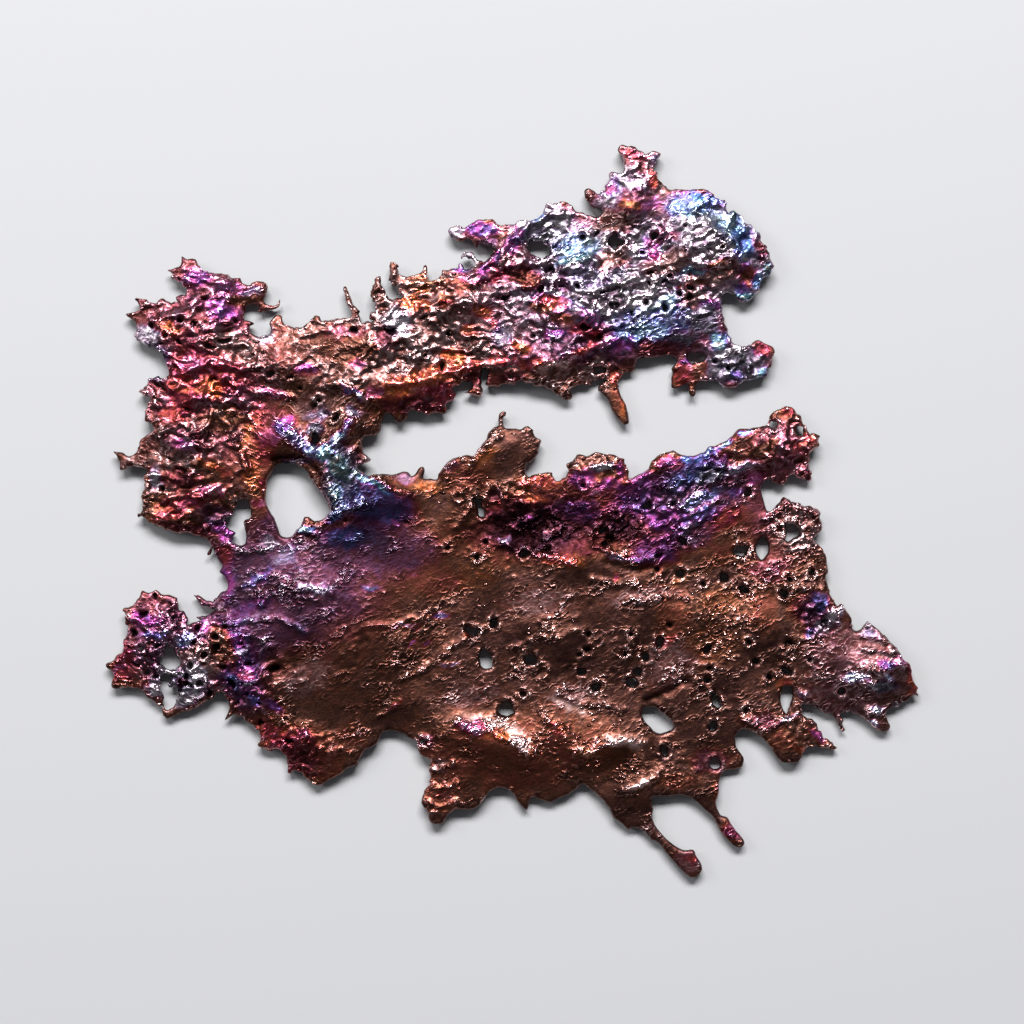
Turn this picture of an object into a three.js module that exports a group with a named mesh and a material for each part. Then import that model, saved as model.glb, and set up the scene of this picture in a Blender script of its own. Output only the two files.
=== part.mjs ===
import * as THREE from "three";

// Driving dimensions, in millimetres
const LENGTH = 163.1; // left tip of the lace to the far tip of the right lobe
const SHEET = 1.9; // thickness of the smooth skin away from its rims
const FOIL = 1.5; // thickness of the crumpled upper arm
const STRAND = 2.4; // thickness a narrow drip or spine is allowed to reach
const REST_HEIGHT = 2.7; // middle of the sheet above the ground where it is flattest
const CRUMPLE = 1.25; // height of the folds in the arm and the left block
const RIPPLE = 0.45; // height of the slow ripple in the smooth skin
const POINT_SPACING = 2.88; // distance between relief points inside the sheet
const RIM_CLEARANCE = 0.95; // nearest a relief point comes to a rim
const FOOT_HEIGHT = 0; // level the splash rests on

// Reading scale: every position below is measured on a splash this long
const MEASURED_LENGTH = 163.1;
const K = LENGTH / MEASURED_LENGTH;

// Outer rim, clockwise seen from above, starting on the left block
const LEFT_FRINGE = [
  [-72.4, 22.4], [-73.0, 23.1], [-73.9, 23.5], [-74.9, 24.1], [-73.9, 24.9], [-73.0, 26.0],
  [-71.3, 26.9], [-70.1, 26.8], [-69.1, 27.1], [-68.9, 28.2], [-69.1, 30.0], [-69.8, 30.9],
  [-70.1, 31.8], [-71.5, 32.8], [-72.1, 33.5], [-73.0, 33.2], [-74.8, 34.2], [-75.8, 35.3],
  [-75.3, 36.5], [-75.6, 37.6], [-76.1, 38.4], [-77.4, 39.7], [-76.5, 40.0], [-75.3, 40.3],
  [-74.6, 41.3], [-75.6, 42.6], [-74.7, 42.9], [-73.6, 42.7], [-71.5, 42.0], [-70.1, 42.9],
  [-69.3, 42.7], [-68.1, 41.9], [-67.1, 42.3], [-67.3, 43.1], [-66.4, 43.5], [-65.4, 43.4],
  [-65.3, 44.5], [-66.0, 45.6], [-67.7, 46.6], [-68.0, 47.6], [-69.1, 48.7], [-67.9, 48.9],
  [-66.4, 49.5], [-66.3, 51.1], [-65.3, 50.7], [-64.2, 50.8], [-63.3, 50.4],
];
const LEFT_CREST = [
  [-62.9, 49.6], [-61.9, 48.4], [-61.0, 48.1], [-59.6, 47.8], [-58.4, 47.9], [-57.2, 47.5],
  [-55.6, 46.9], [-54.4, 47.0], [-54.2, 45.8], [-53.1, 45.6], [-51.8, 46.1], [-50.8, 46.3],
  [-49.6, 46.1], [-49.1, 45.2], [-49.5, 43.4], [-49.7, 42.2], [-48.3, 41.4], [-47.5, 41.5],
  [-46.6, 42.6], [-46.6, 41.7], [-47.2, 41.0], [-48.1, 40.6], [-49.3, 40.4], [-50.7, 40.1],
  [-50.8, 41.0], [-52.0, 41.7], [-52.9, 41.5], [-53.4, 40.1], [-53.8, 39.0], [-53.0, 38.1],
  [-51.6, 37.9], [-52.5, 37.1], [-52.1, 36.1], [-51.3, 35.2], [-49.8, 35.2], [-48.5, 35.7],
  [-48.6, 37.4], [-48.4, 38.4], [-47.7, 39.3], [-46.6, 39.6], [-45.9, 38.3], [-45.3, 37.4],
  [-44.2, 37.1], [-42.4, 36.9], [-41.2, 37.9], [-40.1, 38.6], [-39.4, 39.5], [-38.4, 38.8],
  [-37.5, 38.3], [-36.2, 38.5], [-35.0, 38.7], [-32.8, 38.9],
];
const UPPER_SPIKES = [
  [-32.5, 39.7], [-32.9, 40.7], [-33.1, 41.9], [-33.9, 43.9], [-34.0, 44.8], [-33.2, 45.2],
  [-32.6, 43.9], [-32.2, 42.7], [-31.2, 41.3], [-30.4, 40.4], [-30.7, 39.4], [-30.2, 38.0],
  [-29.3, 38.2], [-27.5, 38.4], [-28.3, 39.0], [-27.6, 40.4], [-27.4, 41.7], [-27.9, 43.3],
  [-27.9, 44.8], [-27.4, 46.6], [-26.6, 47.2], [-26.1, 46.3], [-25.7, 44.9], [-25.2, 43.0],
  [-23.9, 42.5], [-22.4, 42.5], [-21.7, 43.1], [-22.5, 44.1], [-23.7, 45.6], [-24.8, 46.8],
  [-24.4, 47.6], [-24.7, 49.3], [-24.0, 50.2], [-23.1, 49.7], [-22.9, 48.1], [-22.1, 47.4],
  [-20.9, 47.1], [-19.6, 47.3], [-18.3, 47.8], [-17.9, 49.3], [-17.1, 49.3], [-17.0, 47.7],
  [-16.4, 46.7], [-15.0, 46.3], [-14.2, 47.4], [-13.6, 48.5], [-12.7, 48.6], [-10.9, 48.9],
  [-10.2, 49.6], [-9.3, 48.7], [-8.1, 48.8], [-7.4, 49.6],
];
const HORN = [
  [-7.7, 50.5], [-9.4, 51.0], [-10.4, 50.9], [-10.3, 51.7], [-9.0, 52.2], [-8.0, 51.9],
  [-7.5, 51.0], [-6.5, 50.2], [-5.3, 50.7], [-3.9, 51.4], [-3.2, 52.5], [-4.1, 53.2],
  [-5.3, 53.5], [-6.3, 54.0], [-7.2, 53.3], [-8.0, 54.3], [-9.4, 54.5], [-10.9, 54.5],
  [-12.1, 55.0], [-12.8, 56.0], [-12.3, 57.1], [-11.2, 57.4], [-9.4, 57.0], [-8.3, 57.8],
  [-7.2, 58.5], [-5.6, 58.6], [-4.0, 58.8], [-2.9, 57.6], [-1.2, 57.5], [0.4, 57.7],
  [1.4, 58.7], [2.7, 58.5], [3.9, 58.1], [5.0, 58.9], [6.1, 60.4], [7.0, 61.9],
  [8.2, 62.0], [10.3, 62.1], [11.5, 61.6], [12.8, 60.4], [14.3, 60.0], [15.5, 59.4],
  [17.2, 59.3], [18.2, 60.2],
];
const CROWN = [
  [17.1, 61.1], [16.1, 61.1], [15.1, 62.3], [14.5, 64.3], [15.3, 64.9], [16.4, 64.3],
  [17.2, 63.7], [18.3, 64.4], [19.0, 65.7], [19.5, 67.2], [20.1, 68.1], [21.4, 67.9],
  [22.6, 69.4], [22.1, 70.9], [21.5, 72.9], [22.5, 73.5], [24.4, 73.1], [25.8, 72.4],
  [27.2, 72.0], [28.7, 72.5], [29.8, 71.6], [28.8, 70.0], [28.5, 68.6], [29.1, 67.2],
  [30.7, 65.2], [32.2, 64.6], [33.9, 64.7], [36.2, 64.6], [38.3, 64.8], [39.8, 64.1],
  [41.4, 63.0], [42.5, 61.9], [43.2, 59.9], [44.6, 60.4], [45.8, 59.7], [46.9, 58.0],
  [48.6, 57.0], [49.5, 55.8], [50.1, 54.1], [51.2, 52.5], [51.8, 50.8], [52.4, 48.8],
  [51.5, 47.2], [49.9, 46.3], [49.5, 44.5], [48.5, 43.2], [47.0, 42.1], [45.9, 42.0],
  [44.8, 42.9], [43.6, 43.8], [42.4, 43.5], [42.0, 41.4], [42.3, 39.4], [43.0, 37.3],
  [43.4, 35.4],
];
const ARM_END = [
  [44.0, 34.0], [45.4, 33.4], [47.6, 33.4], [48.5, 34.2], [49.4, 34.7], [50.2, 34.0],
  [51.8, 33.4], [52.7, 32.2], [52.4, 30.7], [51.8, 29.2], [51.2, 28.5], [51.0, 27.3],
  [49.4, 26.7], [47.9, 26.2], [46.4, 26.0], [45.2, 25.3], [43.9, 24.8], [42.6, 25.2],
  [41.0, 26.0], [39.2, 26.4], [37.6, 26.1], [36.9, 25.2], [36.8, 23.6], [36.2, 23.2],
  [35.5, 24.0], [35.3, 25.7], [34.4, 25.5], [33.1, 24.8], [32.1, 25.1], [32.0, 26.7],
  [32.2, 27.8], [32.0, 28.7], [33.0, 30.1], [32.9, 30.9], [31.6, 31.5], [29.8, 31.2],
  [28.0, 31.0], [26.3, 31.1],
];
const SPUR = [
  [25.2, 30.7], [24.8, 29.4], [23.8, 28.3], [22.4, 27.6], [21.6, 27.0], [21.3, 25.7],
  [21.6, 24.2], [22.3, 22.5], [23.0, 20.9], [23.4, 18.8], [23.3, 17.8], [22.3, 17.6],
  [21.4, 18.5], [20.3, 20.1], [19.7, 21.2], [19.2, 22.6], [18.3, 23.6], [17.4, 24.6],
  [17.8, 25.8], [18.5, 26.5], [17.4, 26.9], [16.5, 26.5], [15.6, 25.5], [14.4, 25.6],
  [12.9, 25.3], [11.9, 24.8], [11.8, 23.2], [11.2, 22.5], [9.9, 22.9], [8.5, 23.8],
  [7.0, 24.7], [5.5, 25.2], [4.4, 25.3], [3.2, 26.0], [1.6, 26.1], [0.2, 25.5],
  [-1.2, 25.8], [-2.8, 25.1], [-4.2, 25.1], [-5.3, 25.6],
];
const ARM_UNDERSIDE = [
  [-5.0, 26.4], [-4.7, 27.6], [-5.1, 28.7], [-6.1, 28.6], [-6.3, 27.0], [-6.0, 25.7],
  [-6.0, 24.3], [-6.3, 23.2], [-7.8, 23.5], [-9.5, 23.8], [-8.8, 24.6], [-8.0, 25.2],
  [-8.2, 26.3], [-9.6, 26.2], [-10.7, 25.4], [-11.9, 25.0], [-11.9, 24.1], [-11.0, 23.6],
  [-12.1, 22.7], [-12.9, 21.5], [-13.4, 19.9], [-14.6, 19.9], [-15.6, 19.9], [-16.7, 19.5],
  [-17.9, 20.2], [-20.1, 20.3], [-21.0, 19.3], [-21.6, 18.1], [-22.7, 17.9], [-23.6, 18.6],
  [-24.3, 19.6], [-25.4, 19.7], [-26.0, 18.2], [-26.4, 16.6], [-27.3, 15.4], [-29.5, 15.1],
  [-29.9, 13.9], [-29.6, 12.4], [-28.9, 11.1], [-28.2, 10.6], [-29.4, 9.9], [-30.9, 9.1],
];
const BODY_SHOULDER = [
  [-30.1, 8.2], [-28.7, 7.2], [-27.3, 7.6], [-25.5, 7.6], [-23.5, 7.5], [-22.4, 8.0],
  [-21.0, 8.1], [-20.1, 7.2], [-19.3, 7.8], [-18.7, 8.8], [-17.8, 9.1], [-17.5, 8.1],
  [-17.8, 6.8], [-16.6, 6.7], [-15.1, 6.6], [-14.7, 7.6], [-13.8, 9.0], [-12.6, 10.2],
  [-11.1, 11.0], [-9.6, 11.4], [-7.7, 11.3], [-7.0, 12.3], [-6.1, 13.6], [-5.1, 14.7],
  [-4.7, 15.8], [-3.9, 16.9], [-2.8, 17.3], [-2.7, 18.8], [-2.6, 19.6], [-1.8, 20.2],
  [-1.1, 19.9], [-1.3, 19.3], [-1.8, 18.9], [-1.7, 17.5], [-1.2, 16.7], [0.2, 16.7],
  [1.8, 16.6], [3.1, 17.3], [4.0, 16.5], [4.8, 15.0], [5.8, 14.2], [5.4, 12.8],
  [5.2, 11.7], [4.2, 10.4], [3.1, 9.7], [2.7, 8.3], [3.2, 7.0], [4.5, 7.4],
  [6.0, 7.9], [8.0, 7.8], [8.5, 6.4], [9.2, 6.0], [10.2, 6.8], [11.5, 8.7],
  [10.8, 9.4], [12.1, 10.3], [13.2, 11.5], [15.0, 11.3], [17.0, 11.8], [18.6, 11.6],
  [20.0, 11.7], [21.3, 11.0], [22.4, 10.6], [22.6, 9.4], [23.2, 7.9], [23.5, 6.8],
  [24.8, 7.4], [26.4, 8.1], [27.4, 8.9], [28.1, 10.3], [29.2, 11.3], [30.8, 11.9],
  [32.4, 12.3], [33.8, 11.6], [35.5, 11.3], [37.4, 11.6], [38.5, 12.2], [39.6, 13.1],
  [41.4, 13.5], [42.9, 14.3], [44.4, 15.6], [45.5, 16.6], [47.5, 16.7], [49.5, 17.0],
  [51.0, 17.5],
];
const RIGHT_TUFT = [
  [51.4, 18.7], [52.2, 19.8], [53.6, 20.6], [55.0, 21.1], [56.3, 20.9], [57.3, 19.8],
  [58.3, 18.5], [58.9, 16.9], [59.3, 15.9], [60.7, 15.6], [61.7, 15.5], [61.7, 14.7],
  [61.2, 13.4], [60.3, 12.5], [59.5, 10.9], [59.3, 9.6], [60.0, 8.7], [60.1, 7.2],
  [59.9, 6.1], [58.6, 6.4], [57.1, 7.3], [56.0, 7.7], [55.4, 7.0], [54.7, 5.8],
  [53.4, 5.3], [52.3, 6.0], [51.3, 6.6], [50.3, 5.8], [50.0, 4.2], [50.5, 2.3],
  [51.2, 0.2], [52.3, 0.6], [53.4, 1.7], [54.5, 3.1], [55.6, 2.5], [57.0, 1.7],
  [59.0, 1.4], [60.5, 0.8], [61.6, 0.0], [61.9, -1.4], [62.1, -2.8], [61.4, -4.1],
  [60.7, -5.6], [61.5, -6.6], [62.5, -7.5], [63.0, -9.0], [63.1, -10.6], [63.4, -12.0],
  [63.0, -13.3], [63.5, -15.2], [63.9, -16.7], [64.7, -18.1], [65.4, -18.7], [66.1, -18.4],
  [66.9, -19.6], [68.1, -21.2], [68.1, -23.1], [68.9, -23.8], [69.8, -23.6], [70.5, -22.7],
  [71.4, -21.9], [72.4, -22.7], [73.5, -23.7], [75.0, -24.9],
];
const RIGHT_LOBE = [
  [75.9, -26.1], [77.3, -27.3], [78.0, -28.6], [78.8, -29.9], [79.9, -30.9], [80.2, -32.4],
  [80.8, -34.3], [81.5, -35.3], [81.2, -36.1], [81.6, -36.9], [80.4, -36.9], [79.3, -37.8],
  [78.2, -38.4], [77.5, -39.2], [76.1, -39.2], [75.2, -40.0], [75.3, -41.6], [76.0, -43.0],
  [75.3, -44.0], [73.9, -44.0], [72.6, -43.2], [71.2, -42.0], [69.7, -40.9], [68.2, -40.3],
  [67.1, -40.0], [66.0, -40.5], [66.2, -41.5], [66.3, -42.6], [67.1, -43.9], [66.3, -44.0],
  [65.5, -42.6], [65.0, -41.4], [64.3, -40.6], [62.8, -40.2], [61.3, -39.4], [60.0, -38.8],
  [58.2, -38.7], [58.0, -39.9], [59.3, -41.2], [60.9, -42.3], [61.7, -43.6], [62.6, -45.2],
  [64.0, -46.2], [65.1, -47.4], [64.3, -47.9], [62.9, -47.3], [61.2, -46.9], [59.8, -47.0],
  [58.6, -47.9], [58.1, -49.1], [57.1, -50.3], [55.4, -50.3], [53.8, -50.0], [52.7, -48.7],
  [51.7, -47.2], [50.6, -45.8], [49.1, -44.7], [47.3, -43.7], [46.2, -43.5], [45.2, -44.4],
  [44.8, -46.0], [45.4, -47.8], [46.3, -49.0],
];
const DRIPS = [
  [46.6, -50.2], [45.9, -51.3], [44.3, -51.7], [42.7, -51.9], [41.8, -53.2], [41.5, -55.0],
  [41.5, -56.6], [40.9, -58.0], [41.1, -59.3], [41.9, -60.8], [43.2, -61.3], [44.0, -62.6],
  [45.1, -64.1], [46.2, -65.4], [46.7, -66.5], [46.0, -67.3], [44.7, -67.1], [43.3, -65.8],
  [42.1, -64.5], [41.2, -62.8], [40.2, -61.1], [38.9, -59.9], [37.4, -58.5], [35.8, -57.3],
  [34.0, -56.7], [32.0, -57.0], [30.0, -57.1], [28.3, -57.2], [28.2, -58.5], [28.3, -59.8],
  [28.2, -61.2], [28.7, -62.8], [30.0, -64.5], [31.3, -65.9], [32.9, -67.1], [34.6, -67.9],
  [36.4, -67.8], [37.0, -69.1], [38.0, -70.6], [38.1, -72.0], [37.2, -73.1], [36.0, -73.4],
  [34.7, -72.6], [33.3, -71.1], [32.0, -69.6], [30.6, -67.9], [29.5, -66.5], [28.0, -65.8],
  [26.9, -64.6], [25.4, -63.5], [24.1, -63.3], [23.4, -63.8], [22.5, -63.0], [21.3, -62.0],
  [20.2, -61.2], [19.7, -59.7],
];
const LOWER_LOBES = [
  [18.6, -58.3], [17.0, -56.6], [15.5, -55.5], [14.4, -54.7], [13.2, -55.4], [11.5, -56.6],
  [9.8, -57.3], [8.0, -58.2], [6.0, -57.9], [4.1, -57.2], [3.4, -58.3], [3.1, -59.8],
  [2.1, -59.3], [1.1, -58.0], [0.3, -56.7], [-1.0, -55.6], [-2.7, -55.3], [-4.1, -55.9],
  [-5.3, -57.3], [-6.4, -58.7], [-7.8, -59.6], [-9.6, -59.6], [-11.6, -59.7], [-12.8, -60.7],
  [-13.5, -62.1], [-15.0, -62.7], [-16.4, -62.2], [-16.9, -60.6], [-17.8, -59.0], [-18.1, -57.4],
  [-17.5, -55.7], [-16.6, -54.4], [-16.4, -52.8], [-16.8, -51.1], [-16.6, -49.6], [-17.9, -48.9],
  [-19.0, -47.6], [-19.1, -46.1], [-20.6, -45.3], [-22.3, -44.3], [-24.3, -43.9], [-25.7, -44.2],
  [-26.5, -45.4], [-27.3, -46.8], [-28.9, -47.5], [-30.1, -48.8], [-31.0, -50.5], [-31.9, -51.1],
  [-33.3, -51.6], [-34.8, -52.8], [-36.5, -53.7], [-38.3, -54.9], [-39.7, -54.5], [-41.2, -53.6],
  [-42.4, -52.1], [-43.7, -51.7], [-44.7, -52.6], [-45.0, -51.5], [-45.1, -49.9], [-46.1, -48.5],
  [-46.9, -47.6], [-48.8, -47.6], [-50.9, -47.0], [-50.5, -45.4], [-51.0, -43.9], [-52.4, -42.6],
  [-54.0, -41.3], [-55.8, -40.8], [-57.6, -41.8], [-57.0, -40.3], [-56.7, -38.9], [-57.0, -37.4],
  [-57.8, -36.3], [-59.2, -36.3],
];
const LACE = [
  [-59.9, -37.4], [-61.3, -38.0], [-62.9, -39.1], [-64.7, -39.8], [-66.5, -40.2], [-68.2, -41.2],
  [-69.5, -41.4], [-70.2, -40.4], [-70.2, -39.0], [-71.6, -38.2], [-72.9, -37.3], [-74.1, -36.0],
  [-75.6, -35.2], [-77.5, -35.2], [-79.4, -35.5], [-80.5, -34.9], [-80.1, -33.4], [-80.3, -32.0],
  [-81.5, -30.6], [-80.4, -29.9], [-79.3, -28.8], [-78.0, -27.9], [-78.0, -26.4], [-77.2, -24.9],
  [-77.0, -23.8], [-77.4, -22.2], [-77.4, -20.6], [-78.0, -19.5], [-76.8, -19.1], [-75.6, -18.3],
  [-75.0, -17.2], [-74.2, -15.8], [-73.0, -16.0], [-71.2, -15.8], [-70.1, -16.6], [-68.5, -16.6],
  [-67.3, -17.0], [-66.9, -18.3], [-66.6, -19.5], [-65.2, -20.5], [-64.9, -22.1], [-63.6, -22.0],
  [-62.7, -21.6], [-63.6, -21.1], [-61.9, -20.9], [-60.6, -20.2], [-59.3, -19.7], [-60.9, -19.1],
  [-62.1, -18.6], [-63.1, -17.5], [-64.0, -16.6], [-63.1, -16.7], [-61.9, -17.4], [-60.3, -18.1],
  [-59.4, -17.3], [-58.4, -16.1], [-57.2, -15.5], [-57.1, -14.3], [-57.8, -12.8], [-58.8, -12.0],
  [-58.2, -10.7], [-59.0, -9.4],
];
const LEFT_FLANK = [
  [-59.7, -8.1], [-60.1, -7.1], [-60.5, -8.6], [-61.2, -8.5], [-60.5, -6.6], [-61.5, -5.3],
  [-63.2, -4.7], [-65.0, -4.2], [-67.0, -4.2], [-69.0, -3.6], [-70.8, -2.9], [-72.5, -2.1],
  [-73.8, -1.2], [-74.9, -0.8], [-74.1, 0.1], [-74.2, 1.6], [-74.1, 3.3], [-73.6, 4.8],
  [-73.8, 6.5], [-73.0, 8.0], [-73.7, 9.0], [-75.3, 9.0], [-77.0, 8.8], [-78.5, 8.4],
  [-78.6, 9.9], [-79.3, 11.4], [-80.0, 12.1], [-78.4, 12.0], [-76.7, 11.2], [-75.4, 12.0],
  [-74.8, 13.2], [-74.3, 14.5], [-72.9, 15.6], [-71.9, 16.2], [-72.1, 17.5], [-73.3, 18.2],
  [-73.6, 19.6], [-73.2, 20.8],
];
const OUTER_RIM = [
  LEFT_FRINGE, LEFT_CREST, UPPER_SPIKES, HORN, CROWN, ARM_END, SPUR, ARM_UNDERSIDE,
  BODY_SHOULDER, RIGHT_TUFT, RIGHT_LOBE, DRIPS, LOWER_LOBES, LACE, LEFT_FLANK,
];

// Large see-through holes, each by its own rim
const NECK_HOLE = [
  [-46.8, 9.5], [-44.9, 9.6], [-43.0, 9.4], [-41.5, 8.5], [-40.5, 7.1], [-39.7, 5.6],
  [-38.5, 4.2], [-37.5, 2.6], [-36.4, 0.4], [-37.3, -0.7], [-38.6, -1.7], [-40.2, -1.5],
  [-41.5, -0.9], [-42.1, -2.4], [-43.3, -3.9], [-44.6, -5.1], [-46.2, -4.8], [-46.9, -3.5],
  [-47.5, -1.6], [-48.5, 0.1], [-49.3, 2.0], [-49.3, 4.2], [-49.1, 6.0], [-48.2, 7.9],
];
const STRAND_HOLE = [
  [-54.9, 2.5], [-53.6, 2.6], [-52.6, 1.3], [-52.3, -0.9], [-53.8, -1.9], [-53.5, -3.8],
  [-53.5, -6.1], [-54.9, -6.7], [-56.3, -5.6], [-55.6, -4.2], [-57.2, -3.0], [-57.6, -1.5],
  [-56.3, -0.6], [-55.4, 0.9],
];
const LACE_UPPER_HOLE = [
  [-69.5, -26.7], [-68.4, -26.7], [-67.3, -27.9], [-66.6, -29.8], [-67.3, -31.4], [-69.2, -31.3],
  [-70.6, -30.4], [-70.3, -28.7],
];
const LACE_LOWER_HOLE = [
  [-69.7, -32.7], [-68.5, -32.8], [-68.6, -34.8], [-67.3, -35.3], [-67.0, -36.9], [-67.9, -39.0],
  [-69.4, -39.8], [-70.0, -38.6], [-69.9, -36.6], [-70.5, -34.6],
];
const LOWER_BODY_HOLE = [
  [26.4, -39.3], [28.4, -39.1], [30.0, -40.2], [31.5, -41.5], [32.4, -43.2], [31.0, -44.1],
  [29.3, -44.4], [27.9, -43.3], [26.6, -41.8], [26.2, -40.4],
];
const TRIANGLE_HOLE = [
  [-1.1, -37.9], [-0.2, -39.0], [0.2, -40.2], [-1.2, -40.8], [-2.6, -40.3], [-2.3, -38.9],
];
const TALL_HOLE = [
  [-6.0, -27.5], [-4.8, -28.0], [-4.1, -29.7], [-4.2, -31.1], [-5.9, -31.2], [-6.5, -29.2],
];
const WEDGE_HOLE = [
  [-9.6, -23.2], [-8.0, -23.2], [-6.4, -23.4], [-7.3, -24.7], [-8.8, -24.4],
];
const CENTRE_HOLE = [
  [2.5, -29.4], [3.3, -28.6], [4.4, -28.8], [5.0, -29.8], [4.0, -30.5], [2.9, -30.2],
];
const PAIR_HOLE_INNER = [
  [44.4, -7.8], [45.3, -6.9], [46.8, -6.8], [47.1, -7.9], [46.2, -8.9], [44.9, -8.7],
];
const PAIR_HOLE_OUTER = [
  [49.1, -6.5], [50.5, -5.1], [51.4, -6.5], [51.2, -8.3], [50.2, -9.6], [49.2, -8.4],
];
const TUFT_HOLE = [
  [55.3, -2.8], [56.5, -2.6], [57.5, -4.0], [56.5, -5.2], [55.0, -5.8], [54.9, -4.2],
];
const RIGHT_BODY_HOLE = [
  [54.4, -35.2], [55.9, -35.2], [56.2, -37.0], [55.6, -38.8], [55.2, -40.3], [54.2, -39.3],
  [54.0, -37.2],
];
const KEYHOLE = [
  [40.2, -36.4], [41.2, -37.2], [41.9, -38.6], [41.0, -39.1], [40.3, -38.3],
];
const FOLD_HOLE = [
  [35.0, 31.3], [36.6, 31.9], [38.9, 31.7], [38.9, 30.8], [37.4, 30.1], [35.7, 30.2],
];
const ARM_HOLE = [
  [3.0, 53.1], [4.1, 54.2], [5.9, 54.1], [7.2, 53.3], [7.4, 51.5], [5.9, 50.9],
  [4.3, 51.5],
];
const ARM_SECOND_HOLE = [
  [19.5, 54.7], [20.9, 55.3], [22.3, 53.8], [21.2, 53.1], [19.8, 53.3],
];
const SPUR_HOLE = [
  [16.7, 29.2], [18.3, 29.1], [18.5, 28.1], [17.7, 27.6], [16.6, 28.0],
];
const SHOULDER_SLIT = [
  [-7.5, 2.4], [-6.4, 2.3], [-5.9, 0.8], [-5.5, -0.8], [-6.4, -0.8], [-7.0, 0.7],
];
const LARGE_HOLES = [
  NECK_HOLE, STRAND_HOLE, LACE_UPPER_HOLE, LACE_LOWER_HOLE, LOWER_BODY_HOLE, TRIANGLE_HOLE,
  TALL_HOLE, WEDGE_HOLE, CENTRE_HOLE, PAIR_HOLE_INNER, PAIR_HOLE_OUTER, TUFT_HOLE,
  RIGHT_BODY_HOLE, KEYHOLE, FOLD_HOLE, ARM_HOLE, ARM_SECOND_HOLE, SPUR_HOLE, SHOULDER_SLIT,
];

// Small see-through holes: centre x, centre y, half width, half height, turn in degrees
const SMALL_HOLES = [
  [-3.7, -22.3, 0.6, 0.85, -35],
  [14.0, -32.0, 0.75, 0.8, 0],
  [16.8, -35.0, 0.95, 0.55, 35],
  [29.6, -26.2, 0.62, 1.1, -18],
  [26.7, -29.0, 0.6, 0.8, 40],
  [25.2, -32.1, 0.75, 0.85, 0],
  [24.0, -34.2, 1.1, 0.7, -12],
  [39.1, -27.5, 0.6, 0.95, -30],
  [40.3, -43.0, 0.75, 1.1, -10],
  [40.8, -50.5, 1.15, 1.1, 0],
  [30.5, -48.0, 0.65, 1.0, 0],
  [55.1, -31.9, 0.95, 0.6, -35],
  [42.5, -13.1, 0.7, 0.8, 30],
  [46.4, -15.5, 0.85, 0.55, -15],
  [54.5, -16.3, 0.7, 0.65, 30],
  [57.6, 16.3, 0.65, 1.1, -15],
  [33.7, -12.3, 0.7, 0.8, 0],
  [34.4, -5.8, 0.6, 0.7, 0],
  [27.0, 1.4, 0.9, 0.6, 30],
  [28.3, 55.1, 0.65, 0.55, 0],
  [35.6, 44.8, 0.9, 0.55, -25],
  [30.4, 41.1, 0.5, 0.75, 0],
  [-13.8, 29.2, 0.5, 0.85, -10],
  [-39.4, 14.7, 0.5, 1.1, -8],
  [2.4, -8.4, 0.85, 0.5, 20],
  [48.7, -29.9, 0.6, 0.55, 0],
  [60.2, -12.0, 0.6, 0.6, 0],
  [66.0, -36.0, 0.65, 0.5, 20],
  [52.4, 17.5, 0.85, 0.6, -15],
  [47.2, 3.9, 0.65, 0.5, 20],
];

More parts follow.
